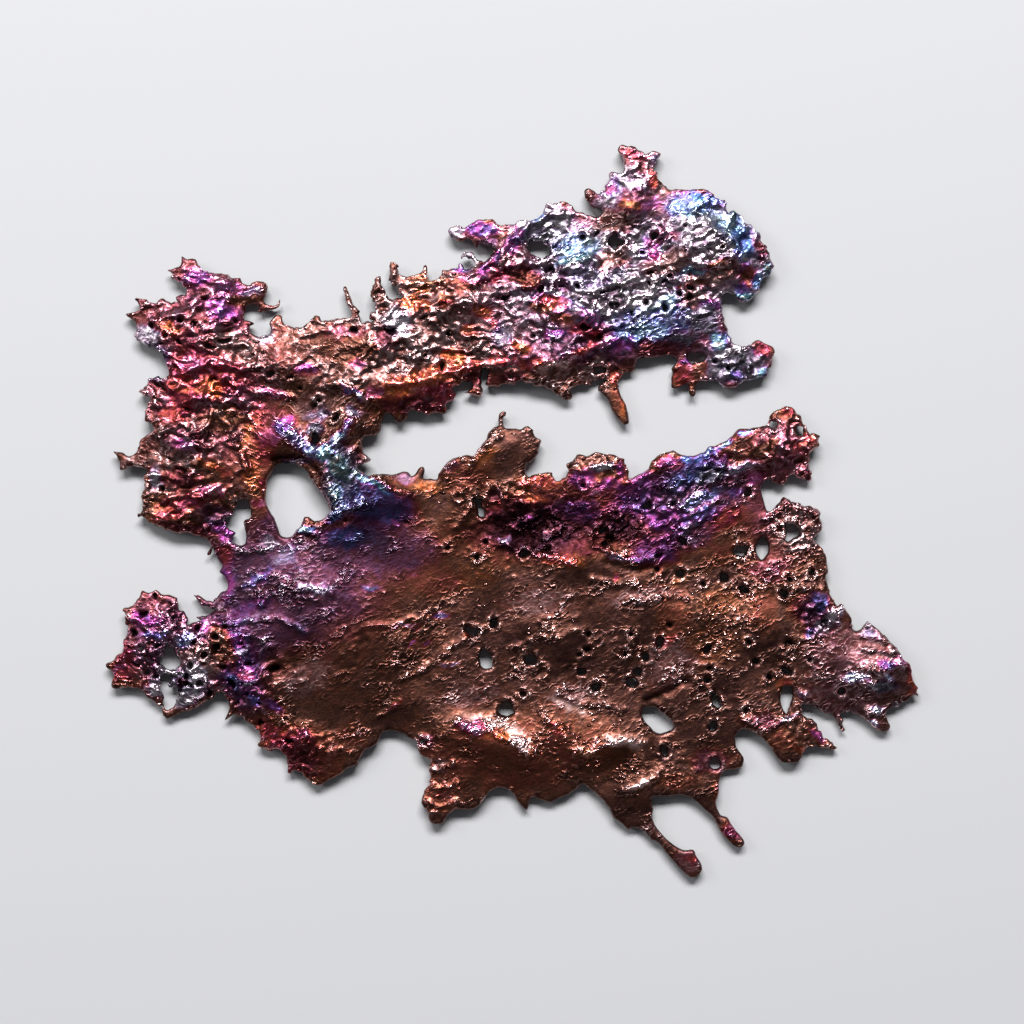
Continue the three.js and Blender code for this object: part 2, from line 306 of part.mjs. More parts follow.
// Raised folds: crest height, half width, then the crest line
const FOLDS = [
  [2.1, 2.6, [[-45, 15.6], [-40.5, 12.2], [-36, 11], [-32, 8], [-27, 6.6], [-21, 3.6]]],
  [1.7, 2.0, [[-36, 11.5], [-35, 15], [-31.5, 18]]],
  [1.5, 2.0, [[-33.4, 10], [-33.2, 5], [-36, 0.4]]],
  [1.5, 1.9, [[-41, -3], [-36, -1.2], [-29, 2]]],
  [1.1, 1.5, [[-52, 9], [-50.8, 2], [-48.4, -2.5], [-47, -6.5]]],
  [0.8, 1.3, [[-60, -6], [-55, -7.4], [-49, -7.6]]],
  [0.8, 1.3, [[-58, -22], [-52, -22.2], [-45.5, -21.6], [-41, -23.6]]],
  [0.6, 1.2, [[-56, -16], [-52, -13.7], [-49, -12.6]]],
  [0.7, 1.4, [[-46, -14.4], [-40, -14.8], [-36, -16]]],
  [0.7, 1.3, [[-56, -26.2], [-53, -24.8], [-50, -26], [-47.4, -28.6]]],
  [0.9, 1.7, [[-56, -35.6], [-52, -34.6], [-49, -33.2]]],
  [0.9, 1.7, [[-40.6, -42.6], [-42, -46]]],
  [0.9, 1.6, [[-37.4, -48.8], [-33, -47.8], [-30, -46]]],
  [1.5, 2.7, [[-13, -43.6], [-6, -44.4], [0, -46], [3.4, -48.6]]],
  [1.6, 2.6, [[8, -43.4], [11, -45.4], [14, -48], [20, -46.4], [27, -45.6]]],
  [1.1, 2.4, [[21, -57], [24.4, -55], [29.6, -53.4]]],
  [1.2, 2.2, [[36.4, -55.4], [39.8, -56.6]]],
  [1.0, 1.7, [[4, -8.6], [8, -9], [13.6, -10.4], [20, -8.2], [27, -9.4]]],
  [1.1, 1.6, [[-3.6, -5.4], [1.8, -7.4]]],
  [1.0, 1.6, [[-12.4, -4], [-10, 1]]],
  [1.6, 2.4, [[-13.6, 7.6], [-10, 9.4], [-5.8, 10.4], [-2, 12.6], [2.6, 13.6]]],
  [1.6, 2.2, [[12, 9], [17, 9.6], [21.4, 9]]],
  [1.5, 2.2, [[24, 5.4], [29, 9], [33, 9.8], [38, 10.2], [44, 14], [50, 15.6]]],
  [1.2, 2.4, [[51, 12], [55, 17], [58, 13]]],
  [0.9, 1.6, [[51, -1.6], [55, 0.6], [60, -0.6]]],
  [0.8, 1.3, [[54.2, -18], [56, -15.8], [62, -15]]],
  [0.9, 1.8, [[66, -33.2], [71, -32.8], [76, -30.4]]],
  [0.8, 1.5, [[56.4, -33.6], [60, -37]]],
  [1.0, 1.9, [[66, -19.6], [66.4, -24], [64, -27]]],
  [0.9, 1.6, [[-46, 28.4], [-39, 27], [-34, 26], [-29, 22.4]]],
  [1.7, 2.6, [[-27, 24.4], [-22, 24.6], [-17, 27], [-12, 29], [-4, 29.6], [4, 29]]],
  [1.5, 2.6, [[4, 29], [10, 30], [18, 32.8], [24, 31.6], [31, 32.8]]],
  [0.9, 1.5, [[-12.7, 40.3], [-7, 37], [-3.6, 32.6]]],
  [1.1, 1.7, [[-9, 46.4], [-4, 50.6], [1, 55]]],
  [1.0, 1.5, [[1, 55], [3.6, 56.6], [8, 60]]],
  [0.8, 1.3, [[9, 49], [14, 50.6]]],
  [1.2, 2.0, [[22.6, 60], [24, 65], [24.8, 70]]],
  [1.0, 1.3, [[34, 51], [36, 55], [40, 56], [44.6, 54.4], [44.4, 50.6], [40, 48.6], [36, 49]]],
  [1.0, 1.8, [[33, 61], [39, 60.4], [45, 57]]],
  [0.9, 1.7, [[32, 46], [31, 40], [27, 36.6]]],
  [1.1, 1.7, [[37, 33], [41, 34.2], [44, 32.4]]],
  [1.2, 1.9, [[41, 28], [46, 29.4], [50, 31.6]]],
  [1.2, 2.3, [[-20, 44.6], [-15, 44.8], [-11, 42]]],
  [1.0, 1.6, [[-71, 14.4], [-65, 17], [-61.4, 15.4], [-66, 13.6]]],
  [1.0, 1.6, [[-70, 6.4], [-64, 8.6], [-60.4, 9.4]]],
  [1.2, 1.8, [[-72, 24.6], [-66, 23], [-60, 25], [-55, 24]]],
  [1.1, 1.8, [[-70, 36.6], [-65, 39], [-60, 37.4]]],
  [1.1, 1.6, [[-64, 46], [-58, 44.4], [-52, 44.4]]],
  [0.9, 1.6, [[-72, 0.8], [-67, 0.4], [-62, 3.8], [-57, 4.4]]],
  [0.9, 1.6, [[-46, 34], [-40, 35.6], [-34, 34.4], [-27, 36.6]]],
  [1.0, 1.5, [[-78, -30], [-74, -28], [-73, -22], [-70, -19]]],
  [0.9, 1.4, [[-72, -24.6], [-66, -24.4], [-60, -25.4]]],
  [0.9, 1.4, [[-67, -39], [-63, -36.6], [-60, -33]]],
];

// Hollows: depth, half width, then the floor line
const HOLLOWS = [
  [1.7, 2.4, [[-2, -3.4], [2, -5], [4, -1.4], [8, 0.6], [13, 0.8]]],
  [1.8, 2.2, [[8, -4], [14, -4.2], [19, -4.6]]],
  [1.2, 2.0, [[21, 1.6], [23, 0]]],
  [0.9, 1.8, [[-9, -4], [-9, -12], [-12, -17]]],
  [1.0, 2.2, [[-52.6, 27], [-52.8, 18], [-53.6, 10]]],
  [1.1, 1.8, [[-54.6, 42.4], [-51.4, 42.8]]],
  [0.9, 1.6, [[-48.6, 27.6], [-46.6, 22], [-46, 18]]],
  [0.9, 1.8, [[-30, 31], [-24, 30.4]]],
  [0.8, 1.9, [[-58, -28], [-55.6, -36]]],
  [0.8, 2.0, [[-46, -30.4], [-49, -31.6]]],
  [0.8, 2.4, [[-20, -34], [-16, -28], [-14, -20]]],
  [0.7, 2.2, [[34, -29], [36, -34]]],
  [0.8, 1.9, [[33, -16.6], [36, -17]]],
  [0.9, 1.6, [[59.6, -21], [62, -23.4], [63, -26.4]]],
  [0.8, 1.8, [[15, 36.6], [18, 36]]],
  [0.8, 1.6, [[4, 39], [6, 44]]],
];

// Broad swells of the whole sheet: centre x, centre y, half width x, half width y, height
const SWELLS = [
  [-40, -27, 15, 14, 1.2],
  [5, -25, 18, 12, 0.8],
  [44, -24, 14, 10, 0.7],
  [73, -31, 8, 7, 1.2],
  [55, -44, 6, 5, 0.9],
  [55, 14, 7, 6, 1.1],
  [-65, 12, 9, 9, 1.2],
  [-61, 34, 9, 8, 1.3],
  [-30, 33, 13, 7, 1.0],
  [6, 42, 15, 9, 1.2],
  [36, 55, 10, 8, 1.5],
  [37, 38, 6, 7, 0.8],
  [-72, -25, 7, 8, 0.9],
  [-34, 8, 8, 9, 1.0],
  [-8, -50, 10, 7, 0.6],
];

// Lumps under the sheet that it stands on: centre x, centre y, radius of the flat end
const FEET = [
  [-66.0, 20.5, 4.2],
  [-66.5, 1.5, 3.6],
  [-62.5, -25.0, 3.4],
  [-41.0, -45.0, 4.4],
  [-10.0, -53.0, 4.2],
  [23.5, -59.0, 3.6],
  [71.5, -37.5, 3.8],
  [57.5, -9.5, 3.2],
  [47.0, 30.0, 3.4],
  [24.0, 62.5, 3.6],
  [-24.0, 33.5, 4.0],
  [8.0, -18.0, 4.6],
];

// Repeatable pseudo-random numbers and smooth noise
function hash2(i, j, seed) {
  let h = Math.imul(i, 374761393) ^ Math.imul(j, 668265263) ^ Math.imul(seed, 2246822519);
  h = Math.imul(h ^ (h >>> 13), 1274126177);
  h = Math.imul(h ^ (h >>> 16), 2654435761);
  return ((h ^ (h >>> 15)) >>> 0) / 4294967295;
}

function smoothNoise(x, y, seed) {
  const i = Math.floor(x);
  const j = Math.floor(y);
  const u = x - i;
  const v = y - j;
  const su = u * u * (3 - 2 * u);
  const sv = v * v * (3 - 2 * v);
  const low = hash2(i, j, seed) * (1 - su) + hash2(i + 1, j, seed) * su;
  const high = hash2(i, j + 1, seed) * (1 - su) + hash2(i + 1, j + 1, seed) * su;
  return (low * (1 - sv) + high * sv) * 2 - 1;
}

function foldedNoise(x, y, seed) {
  return 1 - 2 * Math.abs(smoothNoise(x, y, seed));
}

function smoothStep(edge0, edge1, value) {
  const t = Math.min(1, Math.max(0, (value - edge0) / (edge1 - edge0)));
  return t * t * (3 - 2 * t);
}

// Distance from a point to a segment and to a line of segments
function segmentDistance(x, y, ax, ay, bx, by) {
  const dx = bx - ax;
  const dy = by - ay;
  const along = ((x - ax) * dx + (y - ay) * dy) / (dx * dx + dy * dy || 1);
  const t = Math.min(1, Math.max(0, along));
  return Math.hypot(x - ax - t * dx, y - ay - t * dy);
}

function lineDistance(x, y, line) {
  let best = Infinity;
  for (let i = 0; i + 1 < line.length; i += 1) {
    const d = segmentDistance(x, y, line[i][0], line[i][1], line[i + 1][0], line[i + 1][1]);
    best = Math.min(best, d);
  }
  return best;
}

// Closed rims of the outline and of every hole
function smallHoleRim([cx, cy, rx, ry, turn]) {
  const count = Math.max(rx, ry) > 0.9 ? 6 : 5;
  const angle = THREE.MathUtils.degToRad(turn);
  const rim = [];
  for (let i = 0; i < count; i += 1) {
    const a = (i / count) * Math.PI * 2 + 0.3;
    const u = Math.cos(a) * rx;
    const v = Math.sin(a) * ry;
    const x = cx + u * Math.cos(angle) - v * Math.sin(angle);
    const y = cy + u * Math.sin(angle) + v * Math.cos(angle);
    rim.push([x, y]);
  }
  return rim;
}

function closedRims() {
  const rims = [OUTER_RIM.flat(), ...LARGE_HOLES, ...SMALL_HOLES.map(smallHoleRim)];
  return rims.map((rim) => rim.map(([x, y]) => new THREE.Vector2(x, y)));
}

function insideRims(x, y, rims) {
  let inside = false;
  for (const rim of rims) {
    for (let i = 0, j = rim.length - 1; i < rim.length; j = i, i += 1) {
      const a = rim[i];
      const b = rim[j];
      if ((a.y > y) !== (b.y > y) && x < ((b.x - a.x) * (y - a.y)) / (b.y - a.y) + a.x) {
        inside = !inside;
      }
    }
  }
  return inside;
}

function rimDistance(x, y, rims) {
  let best = Infinity;
  for (const rim of rims) {
    for (let i = 0, j = rim.length - 1; i < rim.length; j = i, i += 1) {
      best = Math.min(best, segmentDistance(x, y, rim[i].x, rim[i].y, rim[j].x, rim[j].y));
    }
  }
  return best;
}

// Share of a place that belongs to the crumpled arm and left block rather than the smooth skin
function crumpledShare(x, y) {
  const arm = smoothStep(-2, 6, y - 12 - 0.02 * (x + 30));
  const block = smoothStep(-46, -54, x) * smoothStep(-8, -3, y);
  const lace = smoothStep(-57, -62, x) * smoothStep(-12, -17, y);
  const ends = smoothStep(48, 56, x) * smoothStep(-14, -4, y);
  return Math.min(1, arm + block + lace + 0.7 * ends);
}

// Height of the middle of the sheet
function sheetMiddle(x, y, rimGap) {
  let z = REST_HEIGHT;
  for (const [cx, cy, rx, ry, h] of SWELLS) {
    z += h * Math.exp(-(((x - cx) / rx) ** 2) - ((y - cy) / ry) ** 2);
  }
  for (const [h, w, line] of FOLDS) {
    z += h * Math.exp(-((lineDistance(x, y, line) / w) ** 2));
  }
  for (const [h, w, line] of HOLLOWS) {
    z -= h * Math.exp(-((lineDistance(x, y, line) / w) ** 2));
  }
  const crumple = crumpledShare(x, y);
  const coarse = foldedNoise(x / 9.5 + 3.1, y / 7.5 - 1.7, 11);
  const fine = foldedNoise(x / 5.6 - 0.4, y / 5.0 + 2.3, 23);
  z += crumple * CRUMPLE * (0.6 * coarse + 0.55 * fine);
  z += (1 - crumple) * RIPPLE * smoothNoise(x / 8.5, y / 8.5, 37);
  const droop = 0.5 + 0.5 * smoothStep(0, 5.5, rimGap);
  return Math.max(0.75, z * droop);
}

// Thickness grows from nothing at a rim with a rounded edge
function sheetThickness(x, y, rimGap) {
  const crumple = crumpledShare(x, y);
  const full = SHEET + (FOIL - SHEET) * crumple;
  const wide = smoothStep(1.0, 2.2, rimGap);
  const target = STRAND + (full - STRAND) * wide;
  const edge = Math.min(1, rimGap / (target * 0.5));
  return target * Math.sqrt(1 - (1 - edge) * (1 - edge));
}

function surfaceHeights(x, y, rimGap) {
  const middle = sheetMiddle(x, y, rimGap);
  const thick = sheetThickness(x, y, rimGap);
  const rough = 0.3 * smoothNoise(x / 4.1 + 9, y / 4.1 - 5, 53);
  let under = middle - 0.5 * thick + rough * smoothStep(0.8, 3, rimGap);
  for (const [cx, cy, r] of FEET) {
    const reach = Math.hypot(x - cx, y - cy);
    under -= (under + 0.4) * (1 - smoothStep(r, r + 3.2, reach)) * smoothStep(0.2, 1.4, rimGap);
  }
  under = Math.max(FOOT_HEIGHT, under);
  const over = Math.max(middle + 0.5 * thick, under + 0.55 * thick);
  return { over, under };
}

// Delaunay triangles of a set of points
function triangulate(points) {
  const far = 2000;
  const all = [...points, { x: -far, y: -far }, { x: far, y: -far }, { x: 0, y: far }];
  const n = points.length;
  let triangles = [circled(all, n, n + 1, n + 2)];
  const order = points.map((_, i) => i).sort((a, b) => points[a].x - points[b].x);
  const finished = [];
  for (const index of order) {
    const p = all[index];
    const open = [];
    const edges = new Map();
    for (const t of triangles) {
      const dx = p.x - t.cx;
      if (dx > 0 && dx * dx > t.rr + 1e-9) {
        finished.push(t);
      } else if (dx * dx + (p.y - t.cy) ** 2 < t.rr - 1e-10) {
        for (const [a, b] of [[t.a, t.b], [t.b, t.c], [t.c, t.a]]) {
          const key = a < b ? a * 65536 + b : b * 65536 + a;
          edges.set(key, edges.has(key) ? null : [a, b]);
        }
      } else {
        open.push(t);
      }
    }
    triangles = open;
    for (const edge of edges.values()) {
      if (edge) {
        triangles.push(circled(all, edge[0], edge[1], index));
      }
    }
  }
  return [...finished, ...triangles].filter((t) => t.a < n && t.b < n && t.c < n);
}

function circled(all, a, b, c) {
  const A = all[a];
  const B = all[b];
  const C = all[c];
  const d = 2 * (A.x * (B.y - C.y) + B.x * (C.y - A.y) + C.x * (A.y - B.y));
  const a2 = A.x * A.x + A.y * A.y;
  const b2 = B.x * B.x + B.y * B.y;
  const c2 = C.x * C.x + C.y * C.y;
  const cx = (a2 * (B.y - C.y) + b2 * (C.y - A.y) + c2 * (A.y - B.y)) / d;
  const cy = (a2 * (C.x - B.x) + b2 * (A.x - C.x) + c2 * (B.x - A.x)) / d;
  const rr = (A.x - cx) ** 2 + (A.y - cy) ** 2;
  return { a, b, c, cx, cy, rr };
}

function edgeKey(a, b) {
  return a < b ? `${a}_${b}` : `${b}_${a}`;
}

// Relief points on a loose staggered net inside the rims
function reliefPoints(rims) {
  const found = [];
  const rowGap = POINT_SPACING * 0.866;
  const rows = Math.ceil(160 / rowGap);
  const columns = Math.ceil(176 / POINT_SPACING);
  for (let row = 0; row <= rows; row += 1) {
    for (let column = 0; column <= columns; column += 1) {
      const shift = row % 2 ? 0.5 : 0;
      const jitterX = (hash2(row, column, 5) - 0.5) * 0.4;
      const jitterY = (hash2(row, column, 6) - 0.5) * 0.4;
      const x = -88 + (column + shift + jitterX) * POINT_SPACING;
      const y = -80 + (row + jitterY) * rowGap;
      if (insideRims(x, y, rims) && rimDistance(x, y, rims) > RIM_CLEARANCE) {
        found.push({ x, y, rim: false });
      }
    }
  }
  return found;
}

// Flat net of triangles that keeps every rim edge
function buildNet(rims) {
  const points = [];
  let edges = [];
  for (const rim of rims) {
    const first = points.length;
    for (const { x, y } of rim) {
      points.push({ x, y, rim: true });
    }
    for (let i = 0; i < rim.length; i += 1) {
      edges.push([first + i, first + ((i + 1) % rim.length)]);
    }
  }
  points.push(...reliefPoints(rims));
  let triangles = [];
  for (let round = 0; round < 12; round += 1) {
    triangles = triangulate(points);
    const present = new Set();
    for (const t of triangles) {
      present.add(edgeKey(t.a, t.b));
      present.add(edgeKey(t.b, t.c));
      present.add(edgeKey(t.c, t.a));
    }
    const kept = [];
    let missing = 0;
    for (const [a, b] of edges) {
      if (present.has(edgeKey(a, b))) {
        kept.push([a, b]);
      } else {
        const x = (points[a].x + points[b].x) / 2;
        const y = (points[a].y + points[b].y) / 2;
        points.push({ x, y, rim: true });
        kept.push([a, points.length - 1], [points.length - 1, b]);
        missing += 1;
      }
    }
    edges = kept;
    if (missing === 0) {
      break;
    }
  }
  const inner = triangles.filter((t) => {
    const x = (points[t.a].x + points[t.b].x + points[t.c].x) / 3;
    const y = (points[t.a].y + points[t.b].y + points[t.c].y) / 3;
    return insideRims(x, y, rims);
  });
  return { points, edges, triangles: inner.map((t) => orient(points, t.a, t.b, t.c)) };
}

function orient(points, a, b, c) {
  const A = points[a];
  const B = points[b];
  const C = points[c];
  const area = (B.x - A.x) * (C.y - A.y) - (B.y - A.y) * (C.x - A.x);
  return area > 0 ? [a, b, c] : [a, c, b];
}

// A crest point is added on every edge that would join one rim straight to another
function splitBridges(net) {
  const rimEdges = new Set(net.edges.map(([a, b]) => edgeKey(a, b)));
  const { points } = net;
  const triangles = net.triangles.slice();
  const owners = new Map();
  const addOwner = (key, index) => {
    if (!owners.has(key)) {
      owners.set(key, new Set());
    }
    owners.get(key).add(index);
  };
  const claim = (index) => {
    const [a, b, c] = triangles[index];
    addOwner(edgeKey(a, b), index);
    addOwner(edgeKey(b, c), index);
    addOwner(edgeKey(c, a), index);
  };
  const release = (index) => {
    const [a, b, c] = triangles[index];
    owners.get(edgeKey(a, b)).delete(index);
    owners.get(edgeKey(b, c)).delete(index);
    owners.get(edgeKey(c, a)).delete(index);
  };
  triangles.forEach((_, index) => claim(index));
  const bridges = [];
  for (const key of owners.keys()) {
    const [a, b] = key.split("_").map(Number);
    if (points[a].rim && points[b].rim && !rimEdges.has(key)) {
      bridges.push([a, b, Math.hypot(points[a].x - points[b].x, points[a].y - points[b].y)]);
    }
  }
  bridges.sort((p, q) => q[2] - p[2]);
  for (const [a, b] of bridges) {
    const x = (points[a].x + points[b].x) / 2;
    const y = (points[a].y + points[b].y) / 2;
    const middle = points.length;
    points.push({ x, y, rim: false });
    for (const index of [...owners.get(edgeKey(a, b))]) {
      const corner = triangles[index].find((v) => v !== a && v !== b);
      release(index);
      triangles[index] = orient(points, a, middle, corner);
      claim(index);
      triangles.push(orient(points, middle, b, corner));
      claim(triangles.length - 1);
    }
  }
  return triangles;
}

// Closed solid from the net: an upper and a lower skin that meet at the rims
function buildSplash() {
  const rims = closedRims();
  const net = buildNet(rims);
  const triangles = splitBridges(net);
  const { points } = net;
  const positions = [];
  const upper = [];
  const lower = [];
  for (const p of points) {
    const gap = p.rim ? 0 : rimDistance(p.x, p.y, rims);
    if (p.rim) {
      upper.push(positions.length / 3);
      lower.push(positions.length / 3);
      positions.push(p.x, p.y, sheetMiddle(p.x, p.y, 0));
    } else {
      const { over, under } = surfaceHeights(p.x, p.y, gap);
      upper.push(positions.length / 3);
      positions.push(p.x, p.y, over);
      lower.push(positions.length / 3);
      positions.push(p.x, p.y, under);
    }
  }
  const index = [];
  for (const [a, b, c] of triangles) {
    index.push(upper[a], upper[b], upper[c]);
    index.push(lower[a], lower[c], lower[b]);
  }
  const geometry = new THREE.BufferGeometry();
  geometry.setAttribute("position", new THREE.Float32BufferAttribute(positions, 3));
  geometry.setIndex(index);
  geometry.scale(K, K, K);
  geometry.computeBoundingBox();
  const box = geometry.boundingBox;
  geometry.translate(-(box.min.x + box.max.x) / 2, -(box.min.y + box.max.y) / 2, -box.min.z);
  geometry.computeVertexNormals();
  return geometry;
}

const copper = new THREE.MeshStandardMaterial({ color: 0x8a4a3c, metalness: 1, roughness: 0.35 });
copper.side = THREE.DoubleSide;

const group = new THREE.Group();
group.name = "copper_splash_part";

const splash = new THREE.Mesh(buildSplash(), copper);
splash.name = "copper_splash";
group.add(splash);

export default group;
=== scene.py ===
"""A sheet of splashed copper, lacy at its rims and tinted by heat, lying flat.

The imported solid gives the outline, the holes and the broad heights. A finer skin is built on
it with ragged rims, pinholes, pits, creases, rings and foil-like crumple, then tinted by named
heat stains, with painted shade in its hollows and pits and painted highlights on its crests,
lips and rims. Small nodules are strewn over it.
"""

import math

import bmesh
import bpy
import numpy as np
from bpy.props import FloatProperty, FloatVectorProperty, IntProperty, PointerProperty
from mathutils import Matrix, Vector, kdtree
from mathutils.geometry import delaunay_2d_cdt


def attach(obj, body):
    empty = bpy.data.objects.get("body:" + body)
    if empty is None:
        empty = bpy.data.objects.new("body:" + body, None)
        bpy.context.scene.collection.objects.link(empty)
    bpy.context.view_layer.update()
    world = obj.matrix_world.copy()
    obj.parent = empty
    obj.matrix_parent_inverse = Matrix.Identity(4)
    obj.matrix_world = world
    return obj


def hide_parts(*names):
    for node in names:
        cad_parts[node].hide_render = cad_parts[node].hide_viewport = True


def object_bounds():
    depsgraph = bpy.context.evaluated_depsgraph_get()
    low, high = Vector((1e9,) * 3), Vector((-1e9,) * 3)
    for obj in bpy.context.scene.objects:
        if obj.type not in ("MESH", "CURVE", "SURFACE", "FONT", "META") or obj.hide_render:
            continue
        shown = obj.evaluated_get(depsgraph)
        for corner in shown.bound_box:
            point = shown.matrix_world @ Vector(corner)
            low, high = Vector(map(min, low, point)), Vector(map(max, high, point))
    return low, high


bl_info = {
    "name": "Copper Splash",
    "version": (1, 0, 0),
    "blender": (4, 5, 0),
    "location": "3D View > Sidebar > Splash",
    "description": "Builds a lacy sheet of splashed copper with heat tints",
    "category": "Object",
}

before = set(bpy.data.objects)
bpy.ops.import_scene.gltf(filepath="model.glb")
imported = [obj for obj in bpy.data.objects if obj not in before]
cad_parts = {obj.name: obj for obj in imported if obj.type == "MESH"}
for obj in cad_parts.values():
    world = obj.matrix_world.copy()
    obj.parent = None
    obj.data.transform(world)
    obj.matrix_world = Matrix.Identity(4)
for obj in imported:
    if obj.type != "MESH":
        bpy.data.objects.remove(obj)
CAD_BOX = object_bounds()
NODE = "copper_splash"
MM = 0.001  # metres in a millimetre; places and lengths below are in millimetres
SMALL_HOLE = 9.0  # a hole with a shorter rim has a raised lip
PINHOLE_MARGIN = 0.5  # least metal between a pinhole and the nearest rim
RING_WALL = 0.45  # half width of a raised ring's wall
PIT_DEPTH = 1.5
# how far the pits are darkened, as painted shade
PIT_DARKNESS = 0.85
RAGGED_END, SMOOTH_START = -57, -62  # down the drips, the rims grow calmer between these y
EDGE_NODULES_END = -58  # below this y no nodules lie along the rims
HEADROOM = 0.05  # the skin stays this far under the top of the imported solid's box
UNDER_CLEARANCE = 0.5  # least height between the two skins, away from the rims
TOP_RINGS = (0.14, 0.36)  # how far from the rims the rows of points that follow them lie
UNDER_RINGS = (0.25,)
CLOSE_NET_SHARE = 0.4  # crumpled share above which the net of points is closer
ROW_HEIGHT = 0.866  # of the spacing, so that the net's triangles are even
NET_SHIFT = 0.3  # of the spacing, so that the rows of the net don't show
PATCH_STRENGTH = 0.92  # how far a stain or a patch of painted shade or highlight hides what is under it

# Pinholes too small for the solid: x, y, half width, half height, turn in degrees
PINHOLES = [
    (14.0, 55.1, 0.45, 0.4, 0), (13.1, 45.2, 0.5, 0.4, 20), (26.0, 52.0, 0.4, 0.4, 0),
    (33.5, 43.6, 0.4, 0.35, 0), (26.8, 42.0, 0.35, 0.6, 0), (42.0, 52.8, 0.4, 0.35, 0),
    (31.4, 47.3, 0.45, 0.35, 30), (27.4, 45.8, 0.4, 0.4, 0), (-57.5, 34.2, 1.3, 0.35, 5),
    (-60.3, 33.0, 0.9, 0.35, -10), (-69.3, 35.3, 0.45, 0.4, 0), (-48.3, 27.6, 0.8, 0.5, 20),
    (-38.7, 22.3, 0.5, 0.4, 0), (-0.2, 27.1, 0.4, 0.35, 0), (-17.4, 31.2, 0.4, 0.35, 0),
    (4.3, 35.2, 0.4, 0.35, 0), (14.3, 5.3, 0.45, 0.4, 0), (20.8, -0.4, 0.4, 0.4, 0),
    (32.2, 1.6, 0.4, 0.4, 0), (18.1, -3.7, 0.7, 0.45, 20), (18.5, -6.3, 0.6, 0.4, 10),
    (29.4, -8.7, 0.65, 0.35, 20), (29.0, -11.5, 0.35, 0.35, 0), (55.6, -13.4, 0.35, 0.35, 0),
    (59.6, -29.6, 0.35, 0.3, 0), (51.5, -33.0, 0.45, 0.4, 0), (47.4, -26.1, 0.4, 0.4, 0),
    (46.9, -39.7, 0.35, 0.5, 0), (22.6, -28.4, 0.4, 0.4, 0), (23.7, -24.4, 0.4, 0.35, 0),
    (39.4, -31.2, 0.4, 0.35, 0), (39.1, -33.6, 0.7, 0.45, 10), (38.2, -14.4, 0.35, 0.3, 0),
    (15.3, -24.5, 0.4, 0.4, 0), (2.2, -36.4, 0.5, 0.35, 0), (-7.0, -9.0, 0.45, 0.4, 0),
    (-5.3, -5.9, 0.35, 0.35, 0), (-13.0, -7.1, 0.4, 0.35, 0), (-18.0, -46.0, 0.6, 0.4, 0),
    (-35.3, 18.8, 0.9, 0.35, 50), (13.4, -28.6, 0.35, 0.35, 0), (-61.5, -28.6, 0.7, 0.5, 30),
    (-62.6, -34.2, 0.7, 0.5, 20), (-74.3, -27.3, 0.5, 0.4, 0), (-73.2, -32.2, 0.5, 0.4, 0),
    (-59.4, -24.8, 0.5, 0.4, 0), (-64.6, -30.6, 0.5, 0.6, 0),
]

# Crumpled patches, laid in order: x, y, half length, half width, turn, amount. A patch with a
# negative amount smooths what is already crumpled
CRUMPLED = [
    (2, 42, 62, 17, 13, 1.0), (24, 66, 8, 10, 0, 1.0), (41, 54, 12, 12, 0, 1.0), (44, 30, 10, 7, 0, 0.8),
    (-4, 54, 9, 5, 0, 0.9), (-63, 30, 16, 22, 0, 1.0), (-64, 8, 13, 15, 0, 1.0),
    (-68, -27, 13, 13, 0, 1.0), (56, 13, 9, 9, 0, 0.85), (60, -3, 8, 9, 0, 0.6),
    (-52, -33, 7, 10, 20, 0.6), (-42, -48, 9, 6, -10, 0.75), (-14, -55, 6, 9, 0, 0.55),
    (18, 8, 16, 4.5, 5, 0.55), (42, 9, 14, 5, 25, 0.6), (-35, 12, 9, 13, 0, 0.45),
    (-54, -33, 6, 12, 25, 1.0), (60, -44, 9, 6, 0, 0.6), (76, -30, 8, 9, 0, 0.35),
    (62, -20, 4, 7, 0, 0.6), (-38, -3, 8, 5, 0, 0.4), (-19, -25, 7, 6, 0, 0.3), (33, -51, 9, 5, 0, 0.3),
    (-18, 24, 13, 5, 8, 0.9), (14, 29, 18, 5, 18, 0.8), (6, 58, 8, 6, 0, 1.0), (61, -21, 5, 5, 0, 0.9),
    (-5, 40, 4, 3, 0, -0.7), (-2, 35, 3.4, 3, 0, -0.7), (-36, 33, 6, 4, 0, -0.6), (13, 52, 3, 4, 0, -0.6),
    (26, 37, 3.4, 2.6, 0, -0.6), (33, 38, 2.6, 3, 0, -0.6), (21, 58, 4.4, 2, 0, -0.8),
    (10, 27, 8, 2.4, 14, -0.7), (5, 0, 14, 8, -4, 0.55), (30, 0, 13, 8, 12, 0.6),
]

# How the wrinkles run: x, y, half length, half width, direction in degrees
WRINKLES = [
    (-62, 22, 17, 24, -28), (-62, 42, 18, 10, 8), (-64, 0, 14, 10, 18), (-20, 36, 26, 12, -6),
    (14, 40, 22, 14, 22), (38, 50, 16, 14, 28), (40, 34, 14, 8, 12), (30, 2, 22, 12, 34),
    (-45, -22, 22, 24, 40), (10, -28, 24, 22, 20), (48, -26, 20, 20, 22), (72, -32, 12, 12, 6),
    (-36, 8, 10, 12, 60), (-68, -28, 12, 12, -50), (56, 12, 10, 10, 36), (0, -2, 16, 8, -12),
    (12, -48, 28, 8, -8), (57, -4, 9, 9, 30),
]
DIRECTIONS = (-50, -28, -8, 8, 22, 36, 60)  # every patch takes the nearest of these

